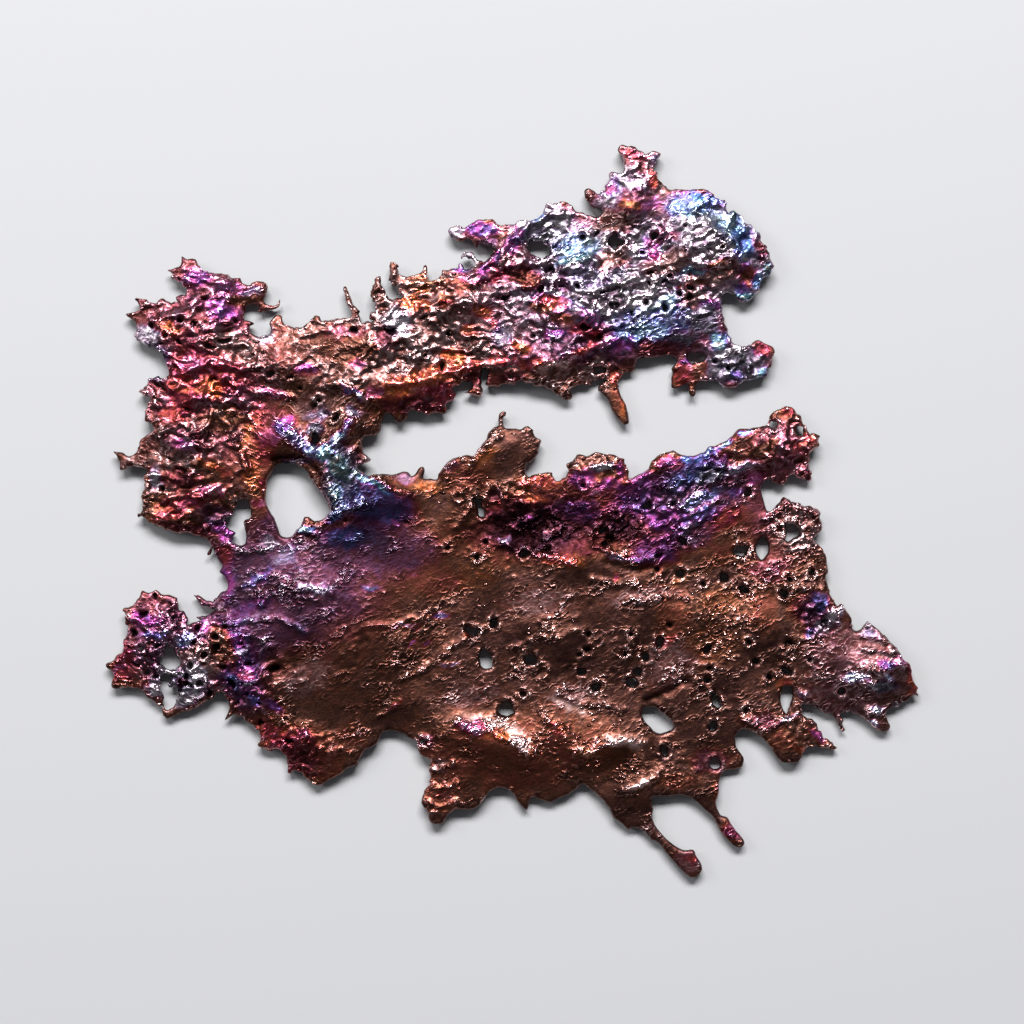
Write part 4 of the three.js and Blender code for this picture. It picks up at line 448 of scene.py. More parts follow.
        # the last patch of this row and the first of the next are painted shade in the valley below the
        # shoulder's edge
        ("magenta", 19, 5.6, 3, 1.2, 0), ("mulberry", 12, 0, 6, 3, 0), ("painted_shade", 4, -3.6, 13, 5.4, -4),
        ("painted_shade", 22, -3, 4, 3, 0), ("maroon", 14, -7, 5, 2.2, 0), ("lilac", -1.4, -5.6, 1.4, 0.5, -35),
        ("pink", 0.4, -2.2, 1.2, 0.6, 0), ("rose", 8, -3.4, 1.4, 0.6, 20),
        ("magenta", 3.4, -1, 1.2, 0.5, 30), ("coral", 8.6, -9.6, 4.4, 1.4, -8),
    ],
    "shoulder, right": [
        ("plum", 34, 5, 7, 5, 20), ("plum", 42, 4, 8, 4, 25), ("indigo", 37, 8, 8, 3, 25),
        ("violet", 38, -1, 5, 1.6, 25), ("magenta", 30.6, 10, 3, 1.7, 0),
        ("blue", 35.4, 10.4, 2.6, 1.2, 0), ("blue", 39, 11.6, 2.4, 1, 25),
        ("cyan", 42.4, 13.8, 2.6, 0.9, 28), ("cyan", 46.6, 16, 2, 0.8, 20),
        ("slate", 40, 7.4, 4, 1.8, 10), ("lilac", 45.6, 8.8, 4, 1.2, 5),
        ("pink", 48.8, 6.8, 2.2, 1.2, 20), ("violet", 44.8, 4, 2.2, 0.8, 10),
        ("periwinkle", 37.6, 2.6, 4.8, 1.4, 18), ("magenta", 32, 0.2, 1.4, 0.9, 0),
        ("violet", 35.2, -2.6, 1.6, 1, 30), ("plum", 37.4, -4.6, 5, 3, 20),
        ("crimson", 43, -1.6, 4.4, 2, 30), ("rust", 41, -8.4, 5, 3, 20), ("rose", 53, 15, 6, 4, 20),
        ("umber", 50, 12.6, 4, 1.6, 25), ("crimson", 55, 20, 2, 0.9, 0), ("coral", 59, 14.8, 2.2, 1, 10),
        ("coral", 57, 12.4, 2, 1.2, 40),
    ],
    "body, middle": [
        ("indigo", -27, 1, 9, 5.4, -10), ("cyan", -26.4, 5.2, 3.6, 0.9, -25),
        ("violet", -25.6, -2, 2.0, 0.7, 0), ("pink", -23.4, -2.1, 1.2, 0.6, 0),
        ("lilac", -21.6, 6.6, 2.4, 1, 0), ("plum", -31, -8, 10, 6, 0), ("indigo", -32, -5, 7, 2.6, 0),
        ("violet", -34, -4.4, 4, 1.0, 0), ("plum", -22, -8, 9, 6, 0),
        ("magenta", -10.8, -14.2, 4, 0.8, -14), ("periwinkle", -28.4, -15.4, 2.4, 0.7, -10),
        ("periwinkle", -19.2, -12.8, 1.6, 0.7, 0), ("rust", -14, -14, 9, 4, 10),
        ("lilac", -21, -22.6, 4.2, 0.6, 8), ("periwinkle", -14.6, -20.6, 3, 0.8, 12),
        ("umber", -18, -26, 6, 4, 20), ("violet", -17, -26.4, 1.2, 0.6, 30),
        ("lilac", -12, -30.6, 2, 0.7, 20), ("lilac", -19, -23.4, 1.2, 0.5, 30),
        ("violet", -20, -26, 1, 0.5, 30), ("ochre", -6.6, -13, 4.4, 4, 0), ("pewter", 6, -18, 9, 3.4, 0),
        ("pewter", 26, -17, 9, 2.4, 10), ("crimson", -8.6, -24.4, 1.4, 1, 20),
        ("pewter", 32, -30, 8, 6, 40), ("pewter", -8, -36.6, 8, 2.6, 10), ("pewter", 12, -36.6, 6, 3, 10),
        ("rust", 32, -21, 5, 4, 60), ("coral", 31, -26, 2, 1.2, 40), ("magenta", 21, -13.2, 0.9, 0.7, 0),
    ],
    "body, left": [
        ("magenta", -57, -13.6, 1.6, 5, 0), ("plum", -51, -11, 6, 4, 30),
        ("lilac", -45, -8.6, 4, 1.6, 30), ("mulberry", -52, -19, 5, 2, 20),
        ("blue", -35.6, -1.2, 2.8, 1, 30), ("cyan", -40.8, -3.8, 2.2, 0.9, 0),
        ("lilac", -55, -22, 4, 0.8, 5), ("periwinkle", -43.4, -22.8, 2.8, 0.8, -22),
        ("lilac", -39.4, -15.4, 3.6, 0.9, -5), ("violet", -51, -13.6, 4, 0.8, 32),
        ("pink", -48.4, -27.6, 1.4, 0.8, -50), ("umber", -45, -28, 5, 4, 0),
        ("pewter", -41, -33, 7, 4, 35), ("plum", -48, -25, 9, 5, 15), ("plum", -55, -32, 6, 12, 25),
        ("crimson", -43, -48, 9, 6, -30), ("mulberry", -55, -29, 5, 9, 15),
        ("magenta", -56, -25, 2, 1.4, -20), ("pink", -53, -32.4, 2, 1.4, -40),
        ("lilac", -54, -27.6, 2, 0.9, 30), ("violet", -51.6, -37.4, 1.8, 1.0, -40),
        ("silver", -52.6, -34.6, 1.8, 0.7, 15), ("indigo", -55.6, -34, 1.6, 3, 30),
        ("violet", -47.6, -39, 2.4, 1.4, -30), ("crimson", -47.4, -45, 5, 2.4, -35),
        ("maroon", -40.6, -49.4, 6, 4, 0), ("pink", -41.4, -44.6, 1, 1.8, -20),
        ("coral", -46.4, -44.2, 1.4, 0.8, 0), ("rust", -34, -46, 6, 4, 30), ("rust", -37, -51, 4, 2, 0),
        ("pink", -23.8, -38.8, 2.4, 0.7, 30), ("crimson", -57.4, -8, 2, 2, 0),
    ],
    "body, lower edge": [
        # the cream patches of the lower edge are painted highlight
        ("rust", -14, -54, 5, 8, 0), ("pewter", -14.6, -51, 3, 1.4, 0), ("cream_highlight", -4, -42.6, 8, 2.2, -12),
        ("pink", -7.6, -43, 5, 1.7, -8), ("orange", -2.6, -44.6, 3.4, 1.2, -20),
        ("cream_highlight", 1.8, -46.4, 2.8, 1.3, -30), ("coral", 9, -43.6, 1.8, 1.8, 0),
        ("gold", 15.4, -48, 3.4, 0.9, 0), ("cream_highlight", 22.2, -45.8, 5.4, 1.7, -8),
        ("cream_highlight", 11, -38.6, 5, 1.2, -20), ("rust", 0, -50.4, 9, 3, 0),
        ("cream_highlight", 25.6, -54.2, 3.6, 0.9, 22), ("umber", 14, -53, 6, 2.6, 0),
        ("rose", -17.6, -46, 2.4, 1.6, 0), ("dove", 35, -70, 3.4, 3.4, 0),
        ("coral", 35.4, -69.4, 1.6, 1.2, 0), ("pewter", 29, -64, 4, 4, 40),
        ("pink", 44.6, -64, 2.6, 2.8, 0), ("crimson", 42.4, -56, 2.4, 3, 0), ("rose", 40, -50, 5, 3, 0),
        ("rust", 33, -54, 5, 2, 0),
    ],
    "body, right": [
        ("gold", 34.4, -13.4, 5.4, 0.8, 16), ("ochre", 41, -18.6, 6, 4.4, 0), ("ochre", 40, -26, 6, 5, 0),
        ("pewter", 57, -4, 6, 6, 0), ("rose", 51, -11.6, 5, 3, 0), ("rust", 50, -20, 4, 5, 0),
        ("maroon", 57.6, -19.4, 2.8, 2.8, 0), ("periwinkle", 62, -16.8, 2.4, 1, -20),
        ("plum", 61, -21, 4.4, 5, 0), ("indigo", 61.6, -18.2, 2, 1.8, 0),
        ("silver", 62.6, -22.6, 2.4, 1.4, 30), ("indigo", 59.6, -24.4, 1.8, 1.2, 20),
        ("silver", 64.6, -21.4, 1.6, 2.6, 20), ("silver", 66.6, -19.6, 1.2, 1.2, 0),
        ("dove", 63, -28, 5, 4, 0), ("rose", 50, -42, 5, 2.4, 0), ("silver", 55.4, -41.4, 2.4, 0.8, 10),
        ("coral", 54.4, -34.4, 2, 0.8, 0), ("rust", 54.6, -46, 4, 3, 0),
        ("magenta", 61.4, -44.8, 2.8, 1.5, -30), ("coral", 57.8, -47.6, 2, 0.9, 10),
        ("lilac", 58.4, -36.4, 1.8, 1.2, -50), ("bare", 46, -35, 4, 4, 0),
    ],
    "right lobe": [
        ("dove", 70, -29, 12, 8, 0), ("dove", 66, -38, 10, 6, 0), ("lilac", 72, -24.6, 2.6, 1.2, -25),
        ("violet", 75, -30.6, 2.4, 1.4, 0), ("pink", 77.6, -29.8, 1.5, 0.8, -30),
        # the glint patches are painted highlights
        ("glint", 68.8, -33.3, 2.8, 0.9, 0), ("glint", 74.6, -33.2, 1.6, 0.6, -20),
        ("slate", 74, -34.9, 4, 1.2, 0), ("coral", 80, -34, 1, 3, 0), ("glint", 72.8, -39.4, 1.7, 0.8, 0),
        ("glint", 72.4, -42, 0.9, 0.8, 0), ("silver", 77, -38.2, 1.2, 0.6, 30),
        ("silver", 71.6, -22.6, 1.4, 0.7, -30), ("crimson", 79.4, -31.6, 1, 1.4, 30),
    ],
    "lace": [
        ("rose", -71.6, -18, 5, 2.4, 0), ("magenta", -73, -21.6, 4, 1.6, -10),
        ("violet", -71.6, -24.6, 3, 1, 0), ("periwinkle", -65, -25.6, 2, 1.5, -30),
        ("pink", -60, -23, 3, 1.4, -10), ("pewter", -62, -30, 5, 4, 0), ("umber", -58, -27, 2.4, 5, 20),
        ("slate", -66, -34.6, 6, 4.4, 0), ("silver", -68.8, -31.8, 3, 0.8, -10),
        # the dark patch at the end of this row is painted shade in a hollow of the lace
        ("silver", -66, -38, 4, 1.8, 20), ("silver", -63, -32, 2, 2.6, 20), ("painted_shade", -66, -34, 1.4, 1, 0),
        ("crimson", -77.6, -29, 2.6, 3, 0), ("crimson", -78.6, -32.6, 3, 2, 0),
        ("rust", -76, -34.4, 3, 1, 0), ("pink", -78.6, -31, 1.6, 0.9, 20),
        ("silver", -71.4, -35.6, 2.4, 1.6, -30),
    ],
}

# Patches strewn with small nodules: x, y, half length, half width, turn, share
NODULES = [
    (42, -23, 9, 7, 20, 1.0), (58, -4, 9, 10, 0, 1.0), (47, -14, 9, 7, 0, 0.9), (32, -16, 9, 4, 10, 0.5),
    (0, -20, 16, 8, 0, 0.25), (36, -33, 12, 7, 0, 0.45), (16, -38, 12, 6, 0, 0.25),
    (60, -30, 8, 8, 0, 0.4), (-55, -30, 5, 10, 25, 1.0), (-44, -46, 6, 5, -30, 0.8),
    (8, -46, 18, 4, 0, 0.7), (26, -52, 12, 5, 0, 0.5), (-14, -54, 5, 8, 0, 0.5), (-8, 2, 8, 8, 0, 0.3),
    (30, 0, 14, 8, 0, 0.45), (4, -2, 12, 5, 0, 0.5), (-68, -27, 12, 12, 0, 1.0),
    (10, 42, 40, 14, 10, 0.25), (-62, 25, 14, 24, 0, 0.25),
]


def length_property(name, description, default, least):
    """A length, with its default and least value in millimetres."""
    return FloatProperty(
        name=name, description=description, default=default * MM, min=least * MM,
        unit="LENGTH", precision=5,
    )


def tint_property(name, red, green, blue):
    return FloatVectorProperty(
        name=name, description=f"Colour of the {name.lower()} metal", subtype="COLOR_GAMMA",
        size=3, min=0.0, max=1.0, default=(red, green, blue),
    )


class SplashSkinSettings(bpy.types.PropertyGroup):
    """Sizes of the fine skin."""

    top_step: length_property("Top step", "Spacing of the points of the smooth upper skin", 0.56, 0.3)
    crumple_step: length_property(
        "Crumple step", "Spacing of the points where the skin is crumpled", 0.39, 0.25,
    )
    under_step: length_property("Under step", "Spacing of the points of the lower skin", 0.95, 0.4)
    rim_step: length_property("Rim step", "Spacing of the points along every rim", 0.36, 0.2)
    ragged: length_property("Ragged rims", "How far a rim strays from its smooth line", 0.26, 0.0)
    crumple: length_property("Crumple", "Height of the foil-like wrinkles", 0.95, 0.0)
    grain: length_property("Grain", "Height of the ripples in the smooth skin", 0.3, 0.0)
    rounding: length_property("Rounding", "Width over which a rim rounds into the sheet", 0.55, 0.1)
    nodule_radius: length_property("Nodule radius", "Radius of the largest fused nodule", 0.42, 0.0)
    nodule_gap: length_property("Nodule gap", "Least distance between two nodules", 0.8, 0.3)
    seed: IntProperty(name="Seed", description="Seed of the scattered nodules", default=7)


class SplashTintSettings(bpy.types.PropertyGroup):
    """Colours of bare copper, of the heat tints and of the pale sheen painted as highlight."""

    bare: tint_property("Bare copper", 0.65, 0.43, 0.40)
    gold: tint_property("Gold", 0.90, 0.58, 0.40)
    orange: tint_property("Orange", 0.98, 0.52, 0.30)
    coral: tint_property("Coral", 0.97, 0.42, 0.36)
    crimson: tint_property("Crimson", 0.88, 0.30, 0.42)
    pink: tint_property("Pink", 0.98, 0.46, 0.68)
    magenta: tint_property("Magenta", 0.85, 0.36, 0.78)
    violet: tint_property("Violet", 0.60, 0.46, 0.86)
    blue: tint_property("Blue", 0.42, 0.55, 0.92)
    sky: tint_property("Sky blue", 0.55, 0.76, 0.97)
    cyan: tint_property("Cyan", 0.64, 0.90, 0.93)
    pale: tint_property("Painted pale sheen", 0.94, 0.88, 0.90)
    under: tint_property("Underside scale", 0.30, 0.20, 0.18)


class SplashStageSettings(bpy.types.PropertyGroup):
    """Floor, lights and camera."""

    floor: tint_property("Floor", 0.68, 0.68, 0.69)
    key_power: FloatProperty(
        name="Key light", description="Power of the large light above the upper edge",
        default=47.0, min=0.0, unit="POWER",
    )
    side_power: FloatProperty(
        name="Side light", description="Power of the light on the left", default=7.0, min=0.0, unit="POWER",
    )
    fill: FloatProperty(
        name="Fill", description="Strength of the light from all round", default=0.12, min=0.0,
    )
    lens: FloatProperty(
        name="Lens", description="Focal length of the camera", default=85.0, min=20.0, unit="CAMERA",
    )


class Wire:
    """An output socket that takes part in sums."""

    def __init__(self, net, socket):
        self.net = net
        self.socket = socket

    def math(self, operation, *values):
        return self.net.node("ShaderNodeMath", {"operation": operation}, dict(enumerate(values)))

    def __add__(self, other):
        return self.math("ADD", self, other)

    def __sub__(self, other):
        return self.math("SUBTRACT", self, other)

    def __rsub__(self, other):
        return self.math("SUBTRACT", other, self)

    def __mul__(self, other):
        return self.math("MULTIPLY", self, other)

    def __pow__(self, other):
        return self.math("POWER", self, other)

    __radd__ = __add__
    __rmul__ = __mul__

    def clamped(self):
        return self.net.node("ShaderNodeClamp", {}, {"Value": self})


class Net:
    """Builds a node tree with one call for each node."""

    def __init__(self, tree):
        self.tree = tree
        tree.nodes.clear()

    def node(self, kind, settings, inputs, output=0):
        made = self.tree.nodes.new(kind)
        for name, value in settings.items():
            if name == "stops":
                set_stops(made.color_ramp, value)
            else:
                setattr(made, name, value)
        for key, value in inputs.items():
            if isinstance(value, Wire):
                self.tree.links.new(value.socket, made.inputs[key])
            else:
                made.inputs[key].default_value = value
        return Wire(self, made.outputs[output]) if len(made.outputs) else made

    def mix(self, factor, first, second, blend="MIX"):
        """A colour between two colours."""
        settings = {"data_type": "RGBA", "blend_type": blend}
        return self.node("ShaderNodeMix", settings, {0: factor, 6: first, 7: second}, 2)

    def attribute(self, name):
        return self.node("ShaderNodeAttribute", {"attribute_name": name}, {}, 2)


def set_stops(ramp, stops):
    while len(ramp.elements) > 1:
        ramp.elements.remove(ramp.elements[-1])
    for number, (place, colour) in enumerate(stops):
        element = ramp.elements[0] if number == 0 else ramp.elements.new(place)
        element.position = place
        element.color = colour


def linear(colour):
    """The linear RGBA of a display colour."""
    parts = [c / 12.92 if c <= 0.04045 else ((c + 0.055) / 1.055) ** 2.4 for c in colour]
    return (*parts, 1.0)


WORD, FRACTION = 0xFFFFFFFF, 0xFFFFFF  # the hash keeps 32 bits, and its result has 24
HASH_I, HASH_J, HASH_SEED = 374761393, 668265263, 974634777
HASH_FIRST, HASH_SECOND = 1274126177, 2246822519


def hashed(i, j, seed):
    """A repeatable number from 0 to 1 for each pair of whole numbers."""
    h = (i.astype(np.int64) * HASH_I + j.astype(np.int64) * HASH_J + seed * HASH_SEED) & WORD
    h = ((h ^ (h >> 13)) * HASH_FIRST) & WORD
    h = ((h ^ (h >> 16)) * HASH_SECOND) & WORD
    return ((h ^ (h >> 15)) & FRACTION) / FRACTION


def step(low, high, value):
    """A smooth step from 0 at low to 1 at high."""
    t = np.clip((value - low) / (high - low), 0.0, 1.0)
    return t * t * (3 - 2 * t)


def bell(value, middle, width):
    """1 at the middle, fading out on both sides."""
    return np.exp(-(((value - middle) / width) ** 2))


def rounded_rise(gap, width):
    """From 0 at a rim to 1 at the width, as a quarter round."""
    rise = np.clip(gap / width, 0, 1)
    return np.sqrt(1 - (1 - rise) ** 2)


def fade(t):
    """A smoother step, for the noise."""
    return t * t * t * (t * (t * 6 - 15) + 10)


def waves(x, y, size, seed):
    """Smooth noise from about -1 to 1, with bumps about size apart."""
    u, v = x / size, y / size
    i, j = np.floor(u), np.floor(v)
    fu, fv = u - i, v - j
    su, sv = fade(fu), fade(fv)
    total = np.zeros_like(x)
    for di in (0, 1):
        for dj in (0, 1):
            angle = hashed(i + di, j + dj, seed) * 2 * math.pi
            slope = np.cos(angle) * (fu - di) + np.sin(angle) * (fv - dj)
            total += slope * (su if di else 1 - su) * (sv if dj else 1 - sv)
    return total * 1.5


def drifted(x, y, *layers):
    """Places shifted by noise. A layer is how far, the size of its bumps, and a seed for x and y."""
    wx, wy = x, y
    for reach, size, seed_x, seed_y in layers:
        wx = wx + reach * waves(x, y, size, seed_x)
        wy = wy + reach * waves(x, y, size, seed_y)
    return wx, wy


def crests(x, y, size, seed, sharp=2.0):
    """Sharp crests with rounded valleys between them, from 0 to 1."""
    return np.clip(1 - np.abs(waves(x, y, size, seed)) * 1.25, 0, 1) ** sharp


def turned(x, y, degrees):
    angle = math.radians(degrees)
    return x * math.cos(angle) + y * math.sin(angle), y * math.cos(angle) - x * math.sin(angle)


def inside_oval(x, y, centre_x, centre_y, half_length, half_width, degrees=0):
    """1 at the middle of an oval, fading out past its edge."""
    u, v = turned(x - centre_x, y - centre_y, degrees)
    reach = np.sqrt((u / half_length) ** 2 + (v / half_width) ** 2)
    return 1 - step(0.45, 1.25, reach)


def line_distance(x, y, line):
    best = np.full_like(x, np.inf)
    for (ax, ay), (bx, by) in zip(line, line[1:]):
        dx, dy = bx - ax, by - ay
        t = np.clip(((x - ax) * dx + (y - ay) * dy) / (dx * dx + dy * dy), 0, 1)
        best = np.minimum(best, np.hypot(x - ax - t * dx, y - ay - t * dy))
    return best


def tree_of(places):
    """A search tree of places in plan."""
    tree = kdtree.KDTree(len(places))
    for index, (x, y, _) in enumerate(places):
        tree.insert((x, y, 0), index)
    tree.balance()
    return tree


class Heights:
    """Smooth heights between scattered places."""

    def __init__(self, places):
        self.values = places[:, 2]
        self.tree = tree_of(places)

    def at(self, points, count=11):
        found = np.empty(len(points))
        for row, (x, y) in enumerate(points):
            near = self.tree.find_n((x, y, 0), count)
            gaps = np.array([gap for _, _, gap in near])
            weights = np.clip(1 - (gaps / (gaps[-1] + 1e-9)) ** 2, 0, 1) ** 1.5 + 1e-9
            picked = self.values[[index for _, index, _ in near]]
            found[row] = (weights * picked).sum() / weights.sum()
        return found


def read_solid(node):
    """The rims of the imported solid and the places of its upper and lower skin, in mm."""
    solid = bmesh.new()
    solid.from_mesh(node.data)
    bmesh.ops.remove_doubles(solid, verts=solid.verts, dist=0.001 * MM)
    solid.normal_update()
    beside = {}
    for edge in solid.edges:
        faces = edge.link_faces
        if len(faces) == 2 and (faces[0].normal.z > 0) != (faces[1].normal.z > 0):
            first, second = edge.verts
            beside.setdefault(first, []).append(second)
            beside.setdefault(second, []).append(first)
    loops = []
    waiting = dict.fromkeys(beside)
    while waiting:
        vertex = next(iter(waiting))
        loop = []
        while vertex is not None:
            del waiting[vertex]
            loop.append(tuple(vertex.co / MM))
            vertex = next((other for other in beside[vertex] if other in waiting), None)
        loops.append(np.array(loop))
    upper, lower = [], []
    for vertex in solid.verts:
        if vertex not in beside:
            side = upper if vertex.link_faces[0].normal.z > 0 else lower
            side.append(tuple(vertex.co / MM))
    solid.free()
    return loops, np.array(upper), np.array(lower)


def signed_area(loop):
    x, y = loop[:, 0], loop[:, 1]
    return 0.5 * float((x * np.roll(y, -1) - np.roll(x, -1) * y).sum())


def rounded_loop(loop, spacing):
    """The loop as a smooth curve through its points, in steps of about the spacing."""
    points = []
    count = len(loop)
    for i in range(count):
        a, b, c, d = (loop[(i + k - 1) % count] for k in range(4))
        steps = max(1, round(float(np.hypot(*(c - b)[:2])) / spacing))
        for k in range(steps):
            t = k / steps
            bend = (2 * a - 5 * b + 4 * c - d) * t * t + (3 * b - a - 3 * c + d) * t ** 3
            points.append(0.5 * (2 * b + (c - a) * t + bend))
    return np.array(points)


def crumpled_share(x, y):
    """How foil-like the skin is, from 0 for smooth to 1 for crumpled."""
    share = np.zeros_like(x)
    for *oval, amount in CRUMPLED:
        patch = inside_oval(x, y, *oval)
        share = np.maximum(share, amount * patch) if amount > 0 else share * (1 + amount * patch)
    return share


def ragged_loop(loop, stray, least):
    """The loop shifted by fine noise, less where the skin is calm and on the smooth drips."""
    x, y, z = loop.T
    calm = 1 - 0.75 * step(RAGGED_END, SMOOTH_START, y)
    reach = stray * (least + (2 - least) * crumpled_share(x, y)) * calm
    dx = waves(x, y, 1.6, 91) + 0.6 * waves(x, y, 0.85, 92)
    dy = waves(x, y, 1.6, 93) + 0.6 * waves(x, y, 0.85, 94)
    return np.column_stack([x + reach * dx, y + reach * dy, z + 0.6 * reach * waves(x, y, 1.1, 95)])


def pinhole_loop(height, spacing, x, y, half_width, half_height, degrees):
    """The points of an oval rim at one height."""
    count = max(7, round(2 * math.pi * max(half_width, half_height) / spacing))
    ring = []
    for k in range(count):
        a = 2 * math.pi * k / count
        u, v = turned(half_width * math.cos(a), half_height * math.sin(a), -degrees)
        ring.append((x + u, y + v, height))
    return np.array(ring)


class Rims:
    """Every rim of the sheet, with the metal on its left."""

    def __init__(self, loops):
        largest = max(range(len(loops)), key=lambda k: abs(signed_area(loops[k])))
        self.loops = []
        for number, loop in enumerate(loops):
            anticlockwise = signed_area(loop) > 0
            self.loops.append(loop if anticlockwise == (number == largest) else loop[::-1])
        self.starts = np.vstack(self.loops)
        self.ends = np.vstack([np.roll(loop, -1, axis=0) for loop in self.loops])
        self.edges = []
        first = 0
        for loop in self.loops:
            count = len(loop)
            self.edges += [(first + k, first + (k + 1) % count) for k in range(count)]
            first += count
        dense = np.vstack([self.starts + (self.ends - self.starts) * k / 4 for k in range(4)])
        self.heights = dense[:, 2]
        self.tree = tree_of(dense)

    def nearest(self, points):
        """How far each point is from a rim, and the height of that rim."""
        found = [self.tree.find((x, y, 0)) for x, y in points]
        gaps = np.array([gap for _, _, gap in found])
        return gaps, self.heights[[index for _, index, _ in found]]

    def rows(self, spacing):
        """Points inside the rims on a staggered net."""
        low, high = self.starts.min(0), self.starts.max(0)
        (ax, ay), (bx, by) = self.starts[:, :2].T, self.ends[:, :2].T
        found = []
        for row, y in enumerate(np.arange(low[1], high[1], spacing * ROW_HEIGHT)):
            hit = (ay > y) != (by > y)
            crossings = np.sort(ax[hit] + (y - ay[hit]) / (by[hit] - ay[hit]) * (bx[hit] - ax[hit]))
            x = np.arange(low[0] + 0.5 * spacing * (row % 2), high[0], spacing)
            x = x[np.searchsorted(crossings, x) % 2 == 1]
            found.append(np.column_stack([x, np.full_like(x, y)]))
        points = np.vstack(found)
        cell = np.floor(points / spacing * 4)
        shift = [hashed(cell[:, 0], cell[:, 1], seed) - 0.5 for seed in (3, 4)]
        return points + NET_SHIFT * spacing * np.column_stack(shift)

    def ring(self, offset):
        """Points on the metal at one distance from the rims."""
        along = self.ends[:, :2] - self.starts[:, :2]
        before = np.vstack([loop[:, :2] - np.roll(loop, 1, axis=0)[:, :2] for loop in self.loops])
        along = along / np.hypot(*along.T)[:, None] + before / np.hypot(*before.T)[:, None]
        along = along / np.maximum(np.hypot(*along.T), 1e-6)[:, None]
        points = self.starts[:, :2] + offset * np.column_stack([-along[:, 1], along[:, 0]])
        gaps, _ = self.nearest(points)
        return points[gaps > 0.82 * offset]

    def holds(self, points):
        """True for each point on the metal."""
        inside = np.zeros(len(points), bool)
        x, y = points.T
        for (ax, ay), (bx, by) in zip(self.starts[:, :2], self.ends[:, :2]):
            if ay != by:
                hit = ((ay > y) != (by > y)) & (x < ax + (y - ay) / (by - ay) * (bx - ax))
                inside ^= hit
        return inside


def key_of(a, b):
    return (a, b) if a < b else (b, a)


def net_of(rims, spacing, close_spacing, rings):
    """Points and triangles that fill the rims. The rims' own points come first."""
    inner = [rims.ring(offset) for offset in rings]
    for step_size, wanted in ((spacing, False), (close_spacing, True)):
        rows = rims.rows(step_size)
        rows = rows[(crumpled_share(*rows.T) > CLOSE_NET_SHARE) == wanted]
        gaps, _ = rims.nearest(rows)
        inner.append(rows[gaps > rings[-1] + 0.5 * step_size])
    points = np.vstack([rims.starts[:, :2], *inner])
    vectors = [Vector(point) for point in points]
    made = delaunay_2d_cdt(vectors, rims.edges, [], 0, 1e-7)
    places = np.array([tuple(v) for v in made[0]])
    number = [origins[0] if origins else len(points) + k for k, origins in enumerate(made[3])]
    rim_count = len(rims.starts)
    corners = np.array([[number[k] for k in face] for face in made[2]])
    if max(number) >= len(points):
        raise RuntimeError("two rims cross each other")
    lookup = np.empty((len(points), 2))
    lookup[number] = places
    on_rim = (corners < rim_count).all(1)
    keep = ~on_rim
    keep[on_rim] = rims.holds(lookup[corners[on_rim]].mean(1))
    return split_bridges(points, corners[keep], rim_count, rims.edges)


def split_bridges(points, corners, rim_count, rim_edges):
    """A point is added on every edge that would join one rim straight to another."""
    rim_edges = {key_of(a, b) for a, b in rim_edges}
    triangles = [tuple(corner) for corner in corners.tolist()]
    owners = {}
    for index, triangle in enumerate(triangles):
        for a, b in zip(triangle, triangle[1:] + triangle[:1]):
            if a < rim_count and b < rim_count and key_of(a, b) not in rim_edges:
                owners.setdefault(key_of(a, b), set()).add(index)
    added = []
    for a, b in sorted(owners):
        middle = len(points) + len(added)
        added.append((points[a] + points[b]) / 2)
        for index in sorted(owners[key_of(a, b)]):
            triangle = triangles[index]
            corner = next(k for k in triangle if k not in (a, b))
            place = triangle.index(a)
            forward = triangle[(place + 1) % 3] == b
            first, second = (a, b) if forward else (b, a)
            triangles[index] = (first, middle, corner)
            triangles.append((middle, second, corner))
            far = key_of(second, corner)
            if far in owners:
                owners[far].discard(index)
                owners[far].add(len(triangles) - 1)
    if added:
        points = np.vstack([points, added])
    return points, np.array(triangles)


def wrinkle_weights(x, y):
    """How much each wrinkle direction counts at each place."""
    weights = [np.full_like(x, 0.02) for _ in DIRECTIONS]
    for *oval, degrees in WRINKLES:
        nearest = min(range(len(DIRECTIONS)), key=lambda k: abs(DIRECTIONS[k] - degrees))
        weights[nearest] = weights[nearest] + inside_oval(x, y, *oval)
    total = sum(weights)
    return [weight / total for weight in weights]


def fine_relief(x, y):
    """Heights of the foil-like wrinkles and of the smooth skin's ripples, from about -1 to 1."""
    wx, wy = drifted(x, y, (1.1, 3.6, 11, 13), (0.45, 1.4, 12, 14))
    foil = np.zeros_like(x)
    ripple = np.zeros_like(x)
    for number, (degrees, weight) in enumerate(zip(DIRECTIONS, wrinkle_weights(x, y))):
        u, v = turned(wx, wy, degrees)
        broad = crests(u / 1.4, v, 3.4, 20 + number)
        close = crests(u / 1.25, v, 1.7, 30 + number)
        tight = crests(u / 1.1, v, 0.95, 40 + number)
        foil += weight * (1.1 * broad + 0.55 * close + 0.22 * tight - 0.66)
        strokes = np.clip(crests(u / 2.8, v, 1.5, 50 + number, 3.0) - 0.35, 0, 1)
        ripple += weight * (1.0 * strokes + 0.4 * waves(u / 2.4, v, 1.3, 60 + number) - 0.15)
    busy = waves(wx, wy, 7.0, 26) + 0.4 * waves(wx, wy, 3.0, 27)
    foil *= 0.4 + 0.85 * step(-0.55, 0.6, busy)
    ripple *= 0.2 + 1.3 * step(-0.1, 0.8, busy)
    ripple += 0.7 * waves(x, y, 9.0, 34)
    return foil, ripple


